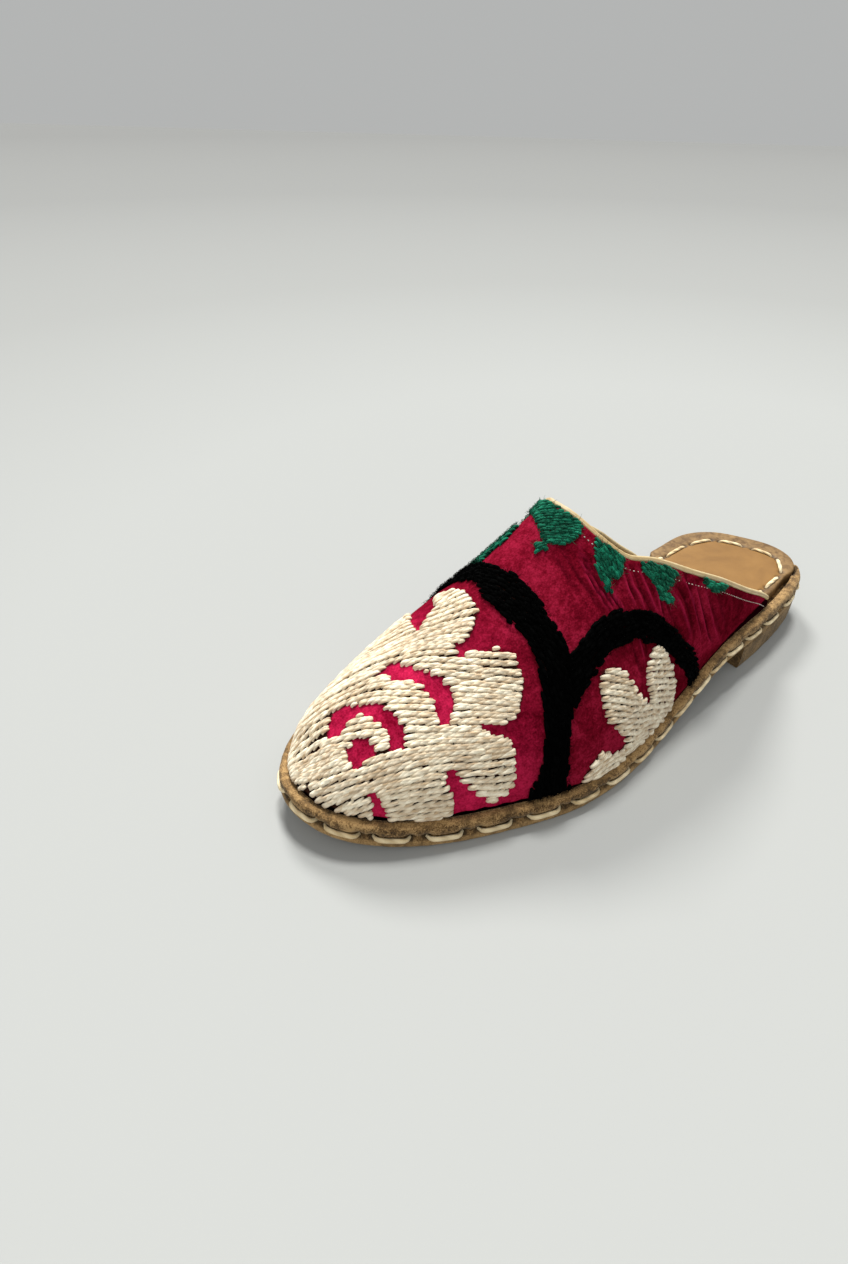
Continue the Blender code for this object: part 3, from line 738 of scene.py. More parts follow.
def lay_rows(inside, field, spacing, box, step=0.9, shortest=2.4,
             passes=((0.97, 1.3), (0.80, 0.5))):
    """Rows a spacing apart that follow a direction field inside an area.

    Each row is an array of (u, s). The rows keep apart by their real distance on the surface.
    A pass says how close to others a row may start and how far apart the tries are, both in
    spacings. The closest pass fills what the others left open.
    """
    cells, rows, queue = {}, [], []

    def cell_of(p):
        return tuple(int(math.floor(c / spacing)) for c in p)

    def crowded(p, reach):
        cx, cy, cz = cell_of(p)
        for i in (-1, 0, 1):
            for j in (-1, 0, 1):
                for k in (-1, 0, 1):
                    for q in cells.get((cx + i, cy + j, cz + k), ()):
                        if ((p[0] - q[0]) ** 2 + (p[1] - q[1]) ** 2
                                + (p[2] - q[2]) ** 2 < reach * reach):
                            return True
        return False

    def advance(u, s, du, ds, length):
        """The place a length away on the surface, or None where the chart is pinched."""
        here = chart.at([u, u + du * 0.5], [s, s + ds * 0.5])
        scale = np.linalg.norm(here[1] - here[0]) / 0.5
        if scale < 0.2:
            return None
        return u + du * length / scale, s + ds * length / scale

    def trace(u, s, sign, limit):
        path = []
        du0, ds0 = field(u, s)
        for _ in range(400):
            nxt = advance(u, s, du0 * sign, ds0 * sign, step)
            if nxt is None or not inside(*nxt):
                break
            p = chart.at(*nxt)[0]
            if crowded(p, limit):
                break
            du, ds = field(*nxt)
            if du * du0 + ds * ds0 < 0:
                sign = -sign
            du0, ds0 = du, ds
            u, s = nxt
            path.append((u, s, p))
        return path

    def sow(u, s, closeness):
        if not inside(u, s):
            return
        p = chart.at(u, s)[0]
        if crowded(p, spacing * closeness):
            return
        limit = spacing * (0.56 if closeness > 0.75 else 0.33)
        path = trace(u, s, -1, limit)[::-1] + [(u, s, p)] + trace(u, s, 1, limit)
        if len(path) < 2 and closeness < 0.75:
            path = [(a, s, chart.at(a, s)[0]) for a in (u - step, u, u + step)]
        if len(path) < 2 or len(path) * step < shortest * closeness ** 2:
            return
        rows.append(np.array([(a, b) for a, b, _ in path]))
        for _, _, q in path:
            cells.setdefault(cell_of(q), []).append(q)
        for a, b, _ in path[::2]:
            du, ds = field(a, b)
            for sign in (1, -1):
                shift = advance(a, b, -ds * sign, du * sign, spacing)
                if shift is not None:
                    queue.append(shift)

    (u0, u1), (s0, s1) = box
    for closeness, pitch in passes:
        for u in np.arange(u0, u1, spacing * pitch):
            for s in np.arange(s0, s1, spacing * pitch):
                sow(u, s, closeness)
                while queue:
                    sow(*queue.pop(0), closeness)
    return rows


def stitches_along(rows, length, overlap, tilt, radius, lift, steps=7, dip=0.9, jitter=0.25):
    """Centres, normals and radii of stitches laid end to end along rows, leaning like a rope."""
    us, ss, offs, heights, rads = [], [], [], [], []
    t = np.linspace(0, 1, steps)
    arch = 1 - np.abs(2 * t - 1) ** 3
    for row in rows:
        points = chart.at(row[:, 0], row[:, 1])
        run = run_along(points)
        at = -length[0] * rng.uniform(0.35, 0.6)
        total = run[-1]
        while at < total - 1.5:
            size = rng.uniform(*length)
            start, end = max(at, -0.3), min(at + size, total + 0.3)
            along = start + (end - start) * t
            share = (along - at) / size
            at += size - overlap
            if end - start < min(1.4, total):
                continue
            us.append(np.interp(along, run, row[:, 0]))
            ss.append(np.interp(along, run, row[:, 1]))
            lean = tilt * rng.uniform(0.75, 1.25)
            offs.append(lean * (0.5 - share) + rng.normal(0, jitter * 0.4))
            high = lift + rng.normal(0, jitter * 0.35)
            heights.append(high * (dip * arch + 1 - dip))
            rads.append(radius * rng.uniform(0.9, 1.1) * (0.62 + 0.38 * arch))
    us, ss = np.array(us), np.array(ss)
    shape = us.shape
    base = chart.at(us.ravel(), ss.ravel()).reshape(*shape, 3)
    up = chart.normal(us.ravel(), ss.ravel()).reshape(*shape, 3)
    along = units(np.gradient(base, axis=1))
    across = np.cross(up, along)
    centres = base + across * np.array(offs)[..., None] + up * np.array(heights)[..., None]
    return centres, up, np.array(rads)


def box_of(*outlines):
    table = np.array([p for outline in outlines for p in outline])
    return (max(table[:, 0].min(), 0.3), table[:, 0].max()), (table[:, 1].min(),
                                                            table[:, 1].max())


# ---------- the velvet upper

# Lines down the gathered quarters, with depth and half width: troughs are drawn in and get painted
# shade, and folds with a negative depth stand out, catch the light and get a painted highlight
CREASES = [
    ([(117.5, 10.7), (117.0, 16.2), (116.2, 21.7), (117, 28)], 0.35, 1.5),
    ([(129.2, 20.1), (125.3, 25.0), (124.4, 31.6), (125.6, 38.5), (126.9, 43.2)], 0.85, 0.75),
    ([(129.0, 24.9), (126.5, 29.8), (126.8, 35.4), (128.3, 41.4), (129.3, 45.1)], 0.8, 0.7),
    ([(129.0, 17.7), (125.0, 22.6), (123.5, 28.9), (124.3, 35.7), (125.8, 42.7)], -0.45, 0.55),
    ([(127.9, 23.1), (125.9, 27.9), (125.9, 33.9), (127.3, 39.9), (128.3, 44.4)], -0.5, 0.5),
    ([(132.6, 24.3), (128.3, 29.8), (128.4, 35.2), (129.6, 42.8), (130.5, 46.1)], -0.5, 0.55),
    ([(130.4, 34.8), (129.8, 39.6), (130.9, 43.1), (132.0, 47.5)], 0.9, 0.7),
    ([(131.8, 34.6), (130.9, 40.2), (132.3, 44.2), (133.4, 48.4)], -0.55, 0.5),
    ([(121.5, 12.5), (120.2, 18.9), (120.7, 27.4), (122.0, 36.3), (124.4, 41.2)], 0.55, 0.9),
    ([(139.5, 38.2), (138.4, 44.6), (139.6, 51.2)], -0.45, 0.7),
    ([(141.0, 38.6), (140.2, 45.1), (141.6, 52.5)], 0.55, 0.7),
    ([(142.4, 38.6), (141.7, 45.6), (143.3, 50.5), (144.6, 57.6)], -0.5, 0.7),
    ([(144.8, 41.6), (145.0, 48.6), (146.8, 54.9), (148.4, 60.6)], 0.6, 0.8),
    ([(147.3, 42.6), (148.2, 50.4), (149.4, 56.9), (151.8, 63.4)], -0.45, 0.8),
    ([(150.5, 46.0), (153.0, 53.2), (153.0, 59.6), (153.3, 66.1)], -0.55, 0.6),
    ([(152.0, 45.7), (154.4, 55.0), (154.7, 60.7), (155.2, 67.7)], 0.95, 0.8),
    ([(161.9, 62.2), (166.1, 70.1), (167.9, 76.0), (171.7, 86.8)], -0.4, 0.8),
    ([(167.0, 58.7), (170.8, 66.1), (173.6, 72.7), (175.0, 80.4), (178.7, 92.3)], -0.4, 0.7),
    ([(164.5, 60.5), (168.4, 68.1), (170.8, 75.4), (174.0, 87.8)], 0.6, 0.9),
    ([(171.2, 62.0), (172.9, 71.0), (175.4, 79.0), (179.2, 90.4)], 0.7, 0.9),
    ([(174.8, 66.3), (177.1, 77.4), (180.1, 87.3), (186.5, 98.7)], -0.4, 0.7),
    ([(176.4, 68.7), (179.6, 80.4), (184.2, 92.8), (189.0, 98.8)], 0.7, 0.9),
    ([(179.5, 68.6), (183.0, 80.3), (187.0, 90.6), (193.6, 100.2)], -0.35, 0.7),
    ([(182.6, 74.0), (186.4, 83.4), (191.0, 92.4), (196.8, 99.8)], 0.45, 1.1),
    ([(189.5, 78.6), (194.0, 88.4), (199.5, 96.8)], 0.4, 1.6),
    ([(158.1, 64.2), (162.4, 76.4)], 0.45, 0.9),
    ([(141.7, 62.1), (140.4, 70.8)], 0.5, 0.9),
    ([(136.9, 60.1), (137.4, 70.8)], -0.35, 0.8),
    ([(131.9, 58.0), (134.9, 72.5)], 0.5, 0.9),
    ([(122, -14), (121, -30), (118, -42)], 0.5, 1.0),
    ([(129, -22), (126, -34), (125, -44)], 0.7, 0.8),
    ([(127.3, -22), (124.4, -34), (123.2, -44)], -0.4, 0.6),
    ([(134, -26), (130, -38), (129, -47)], 0.7, 0.8),
    ([(132.2, -26), (128.4, -38), (127.4, -47)], -0.4, 0.6),
    ([(146, -28), (142, -42), (143, -56)], 0.6, 0.8),
    ([(144.2, -28), (140.4, -42), (141.2, -56)], -0.4, 0.6),
    ([(158, -44), (155, -56), (158, -70)], 0.7, 0.9),
    ([(168, -48), (165, -62), (168, -76)], 0.6, 0.9),
    ([(166, -48), (163.2, -62), (166, -76)], -0.4, 0.7),
    ([(178, -62), (176, -72), (180, -80)], 0.5, 1.0),
    ([(188, -66), (190, -78)], 0.5, 1.3),
]


def crease_depth(u, s):
    """How far the velvet is drawn in at each place in millimetres, how much painted shade its
    troughs get and how much painted highlight its standing folds get."""
    inward, painted_recess_shade, painted_fold_highlight = np.zeros(len(u)), np.zeros(len(u)), np.zeros(len(u))
    for line, depth, half in CREASES:
        line = np.array(line, float)
        near = ((u > line[:, 0].min() - 8) & (u < line[:, 0].max() + 8)
                & (s > line[:, 1].min() - 8) & (s < line[:, 1].max() + 8))
        if not near.any():
            continue
        best = np.full(near.sum(), 1e9)
        share = np.zeros(near.sum())
        for k in range(len(line) - 1):
            a, b = line[k], line[k + 1]
            d = b - a
            t = np.clip(((u[near] - a[0]) * d[0] + (s[near] - a[1]) * d[1]) / (d @ d), 0, 1)
            gap = np.hypot(u[near] - a[0] - t * d[0], s[near] - a[1] - t * d[1])
            better = gap < best
            best[better] = gap[better]
            share[better] = ((k + t) / (len(line) - 1))[better]
        fade = np.sin(np.clip(share, 0.03, 0.97) * math.pi) ** 0.5
        trough = np.exp(-(best / half) ** 2)
        swell = np.exp(-((best - 2.2 * half) / (1.1 * half)) ** 2) if depth > 0 else 0.0
        inward[near] += depth * fade * (trough - 0.30 * swell)
        # Troughs mark where painted shade goes, and folds where a painted highlight goes.
        marks = painted_recess_shade if depth > 0 else painted_fold_highlight
        marks[near] = np.maximum(marks[near],
                                 np.exp(-(best / (0.7 * half)) ** 2) * fade * abs(depth))
    return inward, painted_recess_shade, painted_fold_highlight


def gathers(u, s):
    """Soft waves of the cloth between the creases, strongest below the topline."""
    side = np.where(s >= 0, 1, -1)
    wing = smoothstep(108, 135, u) * (1 - smoothstep(205, 232, u))
    wave = np.sin((u * 0.92 - np.abs(s) * 0.33) * 0.85 + 1.6 * np.sin(u * 0.11) + side)
    return 0.16 * wing * wave * (0.6 + 0.4 * np.sin(np.abs(s) * 0.12))


TOE_ROWS, WING_ROWS, RIB_ROWS = ((220, 180, 46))


def painted_shade_under_threads(us, ss):
    """1 where thread or wool hides the velvet, which is painted dark there as shade, so that the
    gaps between them look dark.
    """
    def hidden(u, s):
        if any(within(o, u, s) for o in (TWIN_LEAF, INNER_LEAF, BAND_ONE, BAND_TWO, BAND_THREE)):
            return True
        return within(TOE_FLOWER, u, s) and not any(
            within(hole, u, s) for hole in (CRESCENT_OUT, CRESCENT_IN, FLOWER_EYE))

    reach = ((0, 0), (0.9, 0), (-0.9, 0), (0, 0.9), (0, -0.9))
    return np.array([float(u < 130 and all(hidden(u + du, s + ds) for du, ds in reach))
                     for u, s in zip(us, ss)])


def make_velvet():
    """The upper's outside with its creases, thickened inwards to the wall."""
    throat = turn_at(THROAT_BACK)
    points, us, ss, hem, faces = [], [], [], [], []
    width = RIB_ROWS + 2
    for side in (1, -1):
        stops = [(math.pi + (throat - math.pi) * k / TOE_ROWS, 1.0) for k in range(TOE_ROWS + 1)]
        stops += [topline_at(k / WING_ROWS, side) for k in range(1, WING_ROWS + 1)]
        base = len(points)
        for turn, climb in stops:
            turn_here = turn if side > 0 else FULL_TURN - turn
            rib = rib_points(turn, side, np.linspace(0, climb, RIB_ROWS + 1)) * MM
            down, _ = chart.rib(turn, side)
            climbs = np.linspace(0, climb, RIB_ROWS + 1)
            s_here = np.interp(-climbs, -chart.climbs, down)
            u_here = float(np.interp(-turn, -chart.turns, chart.u))
            points.append(edge(turn_here, UPPER_INSET + 0.0004, SEAT + GAP) * MM)
            points.extend(rib)
            us.extend([u_here] * width)
            ss.extend([side * down[-1]] + list(side * np.maximum(s_here, 1e-3)))
            hem.extend([0.0] + list(down[-1] - s_here))
        quads = grid_faces(len(stops), width) + base
        faces.append(quads[:, ::-1] if side > 0 else quads)
    points, us, ss, hem = np.array(points), np.array(us), np.array(ss), np.array(hem)
    inward, painted_recess_shade, painted_fold_highlight = crease_depth(us, ss)
    away = np.clip(hem / 6.0, 0, 1)
    normal = chart.normal(us, ss)
    points -= normal * ((inward - gathers(us, ss)) * away)[:, None]
    # Painted shade along the velvet's foot at the welt, widest at the outer wing's rear.
    rear = smoothstep(185, 235, us) * (ss > 0)
    painted_joint_shade = np.clip(1 - (hem - 0.2) / (1.3 + 5.5 * rear + 0.4 * np.sin(us * 0.9)), 0, 1)
    # The velvet's colour gets painted highlight on the folds and towards the toe, and painted shade
    # in the troughs, under the threads and along its foot.
    made = mesh_object("velvet_upper", points, np.concatenate(faces), [VELVET, LINING],
                       values={"crease": painted_recess_shade, "painted_fold_highlight": painted_fold_highlight, "hem": painted_joint_shade,
                               "painted_toe_light": 0.7 * (1 - smoothstep(50, 95, us)),
                               "under": painted_shade_under_threads(us, ss)})
    weld = made.modifiers.new("weld", "WELD")
    weld.merge_threshold = 2e-5
    wall = made.modifiers.new("wall", "SOLIDIFY")
    wall.thickness, wall.offset = WALL, -1
    wall.material_offset = 1
    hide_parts("upper")
    return made


# ---------- embroidery

TOE_DOT = chart.at(2.6, 6.6)[0]
TOE_DOT_RADIUS = 2.6


def make_embroidery():
    def flower(u, s):
        if not chart.covers(u, s) or not within(TOE_FLOWER, u, s):
            return False
        if any(within(hole, u, s) for hole in (CRESCENT_OUT, CRESCENT_IN, FLOWER_EYE)):
            return False
        return np.linalg.norm(chart.at(u, s)[0] - TOE_DOT) > TOE_DOT_RADIUS

    def leaf(u, s):
        return chart.covers(u, s) and within(TWIN_LEAF, u, s)

    def inner_leaf(u, s):
        return chart.covers(u, s) and within(INNER_LEAF, u, s)

    spacing = 2.35
    for name, inside, samples, outline in (
            ("flower_threads", flower, FLOWER_ROWS, TOE_FLOWER),
            ("outer_leaf_threads", leaf, LEAF_ROWS, TWIN_LEAF),
            ("inner_leaf_threads", inner_leaf, INNER_LEAF_ROWS, INNER_LEAF)):
        rows = lay_rows(inside, heading(samples), spacing, box_of(outline),
                        passes=((0.97, 1.3), (0.80, 0.5), (0.70, 0.4)))
        centres, up, radii = stitches_along(rows, (5.0, 7.8), 3.9, -1.75, 0.74, 0.75, jitter=0.35)
        made = tubes(name, centres, up, radii, CREAM)
        print(name, len(rows), "rows", len(centres), "stitches")

    bands = ((BAND_ONE, BAND_ONE_ROWS), (BAND_TWO, BAND_TWO_ROWS), (BAND_THREE, BAND_THREE_ROWS))
    centres, ups, rads = [], [], []
    spacing = 1.2
    for outline, samples in bands:
        rows = lay_rows(lambda u, s, o=outline: chart.covers(u, s, 1.5) and within(o, u, s),
                        heading(samples), spacing, box_of(outline))
        c, n, r = stitches_along(rows, (2.6, 5.0), 0.9, -0.7, 0.82, 0.55, dip=0.6, jitter=0.5)
        centres.append(c); ups.append(n); rads.append(r)
    made = tubes("wool_bands", np.concatenate(centres), np.concatenate(ups),
                 np.concatenate(rads), WOOL, sides=6)
    print("wool", sum(len(c) for c in centres))

    centres, ups, rads = [], [], []
    spacing = 1.0
    for outline, samples in zip(GREEN_TUFTS, TUFT_ROWS):
        rows = lay_rows(lambda u, s, o=outline: chart.covers(u, s, 0.3) and within(o, u, s),
                        heading(samples), spacing, box_of(outline), shortest=1.6)
        c, n, r = stitches_along(rows, (2.6, 5.0), 0.9, -0.6, 0.66, 0.8, jitter=0.4)
        centres.append(c); ups.append(n); rads.append(r)
    made = tubes("green_tufts", np.concatenate(centres), np.concatenate(ups),
                 np.concatenate(rads), GREEN, sides=6)
    print("green", sum(len(c) for c in centres))


def make_fluff():
    """Loose fibres that stand off the wool bands and the green tufts."""
    for name, outlines, count, finish, root in (
            ("wool_fluff", (BAND_ONE, BAND_TWO, BAND_THREE), 7000, WOOL, 1.0),
            ("green_fluff", GREEN_TUFTS, 2600, GREEN, 1.0)):
        spots = []
        areas = [box_of(o) for o in outlines]
        size = [(b[0][1] - b[0][0]) * (b[1][1] - b[1][0]) for b in areas]
        share = np.array(size) / sum(size)
        while len(spots) < count:
            k = rng.choice(len(outlines), p=share)
            (u0, u1), (s0, s1) = areas[k]
            u, s = rng.uniform(u0, u1), rng.uniform(s0, s1)
            if within(outlines[k], u, s) and chart.covers(u, s, 0.6):
                spots.append((u, s))
        spots = np.array(spots)
        base = chart.at(spots[:, 0], spots[:, 1])
        up = chart.normal(spots[:, 0], spots[:, 1])
        side = units(np.cross(up, rng.normal(size=(count, 3))))
        length = rng.uniform(0.6, 1.9, count)[:, None]
        t = np.linspace(0, 1, 4)
        lean = rng.uniform(0.4, 1.3, count)[:, None]
        curl = units(np.cross(up, side)) * rng.normal(0, 0.5, count)[:, None]
        path = np.stack([base + up * (root + length * 0.55 * (1 - (1 - k) ** 2))
                         + side * length * lean * k + curl * length * k * k for k in t], 1)
        radii = np.broadcast_to(np.array([0.07, 0.065, 0.05, 0.03]), (count, 4))
        made = tubes(name, path, np.repeat(up[:, None], 4, 1), radii, finish, sides=3, flat=1.0)


# ---------- topline

BINDING_OFF, BINDING_ROUND = 1.05, 1.0


def topline_path(count):
    """Centre line of the binding from the outer wing's end to the inner one, with its frame."""
    shares = np.arange(1, count + 1) / count
    spots = [(1, *topline_at(share, 1)) for share in shares[::-1]]
    spots += [(1, turn_at(THROAT_BACK), 1.0)]
    spots += [(-1, *topline_at(share, -1)) for share in shares]

    def point(side, turn, climb):
        return rib_points(turn, side, np.array([min(max(climb, 0.0), 1.0)]))[0] * MM

    tops = np.array([point(*spot) for spot in spots])
    centres, outs, offs = [], [], []
    for k, (side, turn, climb) in enumerate(spots):
        up = point(side, turn, climb + SLOPE_STEP) - point(side, turn, climb - SLOPE_STEP)
        ahead = point(side, turn + SLOPE_STEP, climb) - point(side, turn - SLOPE_STEP, climb)
        outward = unit(np.cross(up, ahead) * side)
        along = tops[min(k + 1, len(tops) - 1)] - tops[max(k - 1, 0)]
        off = unit(np.cross(along, outward))
        centres.append(tops[k] - outward * WALL * MM / 2 + off * BINDING_OFF)
        outs.append(outward)
        offs.append(off)
    return np.array(centres), np.array(outs), np.array(offs)


def make_binding():
    """Leather strip folded over the topline, with a groove along its outer face."""
    count = 120
    centres, outs, offs = topline_path(count)
    sides = 20
    angle = np.arange(sides) * 2 * math.pi / sides
    groove = np.exp(-((np.degrees(angle) - 8) / 14) ** 2) + np.exp(
        -((np.degrees(angle) - 368) / 14) ** 2)
    run = run_along(centres)
    ease = np.clip(np.minimum(run, run[-1] - run) / 2.2, 0, 1)
    end = np.sqrt(np.clip(1 - (1 - ease) ** 2, 0.02, 1))
    wrinkle = 1 + 0.035 * np.sin(run * 1.9 + 2 * np.sin(run * 0.31)) + 0.02 * np.sin(run * 4.7)
    radius = BINDING_ROUND * end * wrinkle
    rings = []
    for k in range(len(centres)):
        wide = 1.25 * np.cos(angle)[:, None] * outs[k]
        tall = 1.10 * np.sin(angle)[:, None] * offs[k]
        rings.append(centres[k] + (wide + tall) * (radius[k] * (1 - 0.16 * groove))[:, None])
    points = np.concatenate(rings)
    faces = grid_faces(len(centres), sides, wrap=True).tolist()
    first = list(range(sides))
    last = [(len(centres) - 1) * sides + k for k in range(sides)][::-1]
    made = mesh_object("cream_binding", points, faces + [first, last], [CREAM_LEATHER],
                       values={"pinch": np.tile(groove, len(centres))})
    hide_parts("topline_binding")


def make_machine_stitches():
    """White lockstitch a few millimetres under the binding, hidden where a tuft covers it."""
    below, pitch, length, radius = 3.1, 1.8, 0.5, 0.19
    centres, ups = [], []
    for side in (1, -1):
        line = chart.top[side]
        slope = units(np.gradient(line, axis=0))
        down = np.stack([slope[:, 1], -slope[:, 0]], -1) * side
        down *= np.where((down[:, 1] * side)[:, None] < 0, -1, 1)
        lowered = line + down * below
        points = chart.at(lowered[:, 0], lowered[:, 1])
        run = run_along(points)
        for at in np.arange(1.0, run[-1] - 3, pitch):
            span = at + np.array([0, 0.5, 1.0]) * length
            u = np.interp(span, run, lowered[:, 0])
            s = np.interp(span, run, lowered[:, 1])
            if any(within(t, u[1], s[1]) for t in GREEN_TUFTS) or not chart.covers(u[1], s[1]):
                continue
            up = chart.normal(u, s)
            centres.append(chart.at(u, s) + up * np.array([-0.05, 0.22, -0.05])[:, None])
            ups.append(up)
    radii = np.full((len(centres), 3), radius)
    made = tubes("machine_stitches", np.array(centres), np.array(ups), radii, COTTON, sides=5)


# ---------- sole

# Toe-side ends of the sole's hand stitches, as millimetres round the edge from the heel back
OUTER_STITCHES = [298.6, 283.4, 267.0, 249.6, 232.3, 214.5, 197.6, 181.2, 165.2, 150.0, 136.0,
                  123.6, 111.2, 98.4, 82.6, 66.4, 46.6, 29.8, 13.6]
STITCH_LENGTH, STITCH_PITCH = 12.0, 16.3


class Edge:
    """The sole's edge by distance round it, in millimetres from the heel back."""

    def __init__(self):
        self.turns = np.linspace(0, FULL_TURN, 2401)
        self.points = np.array([edge(turn, 0.0, 0.0)[:2] for turn in self.turns]) * MM
        gaps = np.linalg.norm(np.diff(self.points, axis=0), axis=1)
        self.run = np.concatenate([[0.0], np.cumsum(gaps)])
        self.total = self.run[-1]

    def turn(self, at):
        return float(np.interp(at % self.total, self.run, self.turns))

    def at(self, turns):
        return np.interp(np.asarray(turns) % FULL_TURN, self.turns, self.run)


round_edge = Edge()


def sole_stitch_spans():
    spans = [(toe - STITCH_LENGTH, toe) for toe in OUTER_STITCHES]
    low, high = OUTER_STITCHES[0] + 4.2, round_edge.total + OUTER_STITCHES[-1] - STITCH_LENGTH
    count = round((high - low) / STITCH_PITCH)
    pitch = (high - low) / count
    spans += [(low + k * pitch, low + k * pitch + STITCH_LENGTH) for k in range(count)]
    return spans


SPANS = sole_stitch_spans()
HOLES = np.sort(np.array([at % round_edge.total for span in SPANS for at in span]))


def pinch_at(run):
    """How hard the leather is pulled in near the stitch holes, 0 to 1."""
    run = np.asarray(run)[:, None]
    gap = np.abs((run - HOLES[None] + round_edge.total / 2) % round_edge.total
                 - round_edge.total / 2).min(1)
    return np.exp(-(gap / 1.9) ** 2)


def waver(run, seed, size):
    """Hand-cut unevenness along the edge, the same at both ends."""
    turn = np.asarray(run) / round_edge.total * FULL_TURN
    made = np.zeros(len(turn))
    for k, share in ((7, 0.5), (13, 0.35), (29, 0.3), (53, 0.25), (97, 0.2)):
        made += share * np.sin(k * turn + seed * k * 1.7)
    return made * size


def end_faces(rows, count, flips):
    """Quads across the first and the last of a stack of loops, each flipped or not."""
    faces = []
    for row, flip in zip((0, rows - 1), flips):
        base = row * count
        for k in range(count // 2 - 1):
            quad = [base + k, base + k + 1, base + count - 2 - k, base + count - 1 - k]
            faces.append(quad[::-1] if flip else quad)
    return faces


SOLE_TURNS = 760


def make_outsole():
    """Sole slab with a rounded, slightly uneven edge, drawn in at the stitch holes."""
    thick = OUTSOLE_THICKNESS * MM
    levels = ((0.9, 0.0), (0.25, 0.12), (-0.05, 0.7), (-0.15, 1.6), (-0.10, 2.4), (0.08, 3.0),
              (0.55, 3.5), (1.5, thick))
    held = (0.0, 0.0, 0.05, 0.15, 0.45, 0.8, 1.0, 0.9)
    turns = FULL_TURN * (np.arange(SOLE_TURNS) + 0.5) / SOLE_TURNS
    run = round_edge.at(turns)
    pinch, uneven = pinch_at(run), waver(run, 1.0, 0.10)
    loops, painted_pinch_shade, worn = [], [], []
    for (inset, up), hold in zip(levels, held):
        for k, turn in enumerate(turns):
            draw = inset + 0.75 * hold * pinch[k] - uneven[k]
            loops.append(edge(turn, draw / MM, up / MM) * MM)
            painted_pinch_shade.append(pinch[k] * hold)
            worn.append(1.0 if 0 < up < 2.6 else 0.2)
    points = np.array(loops)
    rows = len(levels)
    faces = grid_faces(rows, SOLE_TURNS, wrap=True)[:, ::-1].tolist()
    faces += end_faces(rows, SOLE_TURNS, (False, True))
    made = mesh_object("leather_outsole", points, faces, [LEATHER],
                       values={"pinch": painted_pinch_shade, "worn": worn})
    sharpen(made)
    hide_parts("outsole")


def sharpen(made, angle=45):
    made.data.set_sharp_from_angle(angle=math.radians(angle))


def make_welt():
    """Rolled strip on the sole's edge, drawn in at the stitch holes and tapered at its ends."""
    start = turn_at(LENGTH * 0.012)
    end = FULL_TURN - turn_at(LENGTH * sum(INNER_SEAT) / 2)
    steps = 700
    profile = ((0.45, 0.00), (0.24, 0.07), (0.08, 0.15), (0.01, 0.28), (0.00, 0.50),
               (0.03, 0.70), (0.10, 0.84), (0.22, 0.94), (0.38, 0.99), (0.56, 1.00),
               (0.74, 0.97), (0.90, 0.92), (1.00, 0.86), (1.00, 0.00))
    held = (0.9, 1.0, 1.0, 0.7, 0.35, 0.15, 0.05, 0, 0, 0, 0, 0, 0, 0)
    turns = start + (end - start) * np.arange(steps + 1) / steps
    run = round_edge.at(turns)
    pinch, uneven, lump = pinch_at(run), waver(run, 1.0, 0.10), waver(run, 2.3, 0.16)
    points, painted_pinch_shade, worn = [], [], []
    for k, turn in enumerate(turns):
        width = max(min(WELT_WIDTH, insole_inset(turn) - 0.0014) * MM, 0.8)
        fade = min(smoothstep(-0.1, 0.12, turn - start), smoothstep(-0.28, 0.28, end - turn))
        height = (WELT_HEIGHT - GAP - 1.1 * lean_over(min(turn, FULL_TURN - turn))) * MM - 0.2
        for (across, up), hold in zip(profile, held):
            inset = across * width + 0.85 * hold * pinch[k] * fade
            inset -= (uneven[k] + 0.12) * (1 - across)
            high = up * fade * (height + lump[k] * (1 - across))
            high += 0.35 * hold * pinch[k] * (across < 0.2) * fade
            points.append(edge(turn, inset / MM, SEAT + high / MM) * MM)
            painted_pinch_shade.append(pinch[k] * hold)
            worn.append(0.7 if 0.1 < across < 0.6 and up > 0.9 else 0.1)
    sides = len(profile)
    faces = grid_faces(steps + 1, sides, wrap=True).tolist()
    faces += [list(range(sides)), [steps * sides + k for k in range(sides)][::-1]]
    made = mesh_object("leather_welt", np.array(points), faces, [LEATHER],
                       values={"pinch": painted_pinch_shade, "worn": worn})
    sharpen(made)
    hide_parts("welt")


def make_sole_stitches():
    """Thick waxed thread in the groove between sole and welt, right round the shoe."""
    steps = 13
    t = np.linspace(0, 1, steps)
    arch = 1 - np.abs(2 * t - 1) ** 7
    centres, ups = [], []
    for low, high in SPANS:
        line, normals = [], []
        sway = rng.normal(0, 0.12)
        for share, rise in zip(t, arch):
            turn = round_edge.turn(low + (high - low) * share)
            inset = 1.5 - 1.78 * rise
            here = edge(turn, inset / MM, OUTSOLE_THICKNESS + (sway - 0.15 * rise) / MM) * MM
            line.append(here)
            out = edge(turn, -0.001, OUTSOLE_THICKNESS) * MM - edge(turn, 0, OUTSOLE_THICKNESS) * MM
            normals.append(unit(out))
        centres.append(line)
        ups.append(normals)
    radii = np.broadcast_to(0.56 + 0.36 * arch, (len(SPANS), steps)) * rng.uniform(
        0.92, 1.08, (len(SPANS), 1))
    made = tubes("sole_stitches", np.array(centres), np.array(ups), radii, WAXED, sides=9,
                 flat=0.8, pitch=5.0)


# Insole stitches at the heel: ends of each, x and y
INSOLE_STITCHES = [
    ((76, -20.5), (64, -20.8)), ((60, -21.2), (48, -22.0)), ((44, -22.3), (32.5, -23.0)),
    ((28.5, -23.2), (19.5, -23.6)), ((16.5, -23.6), (1.7, -25.2)), ((-2.4, -24.8), (-13.9, -22)),
    ((-16.4, -19.2), (-21.9, -9.9)), ((-23.5, -5.5), (-25.9, 3.8)), ((-25.5, 6.8), (-16.8, 14.8)),
    ((-11.8, 16.7), (0.2, 18.7)), ((4.2, 19.4), (16, 21.4)), ((20, 22.1), (32, 24.2)),
    ((36, 25.0), (48, 27.4)), ((52, 28.2), (64, 30.6)),
]


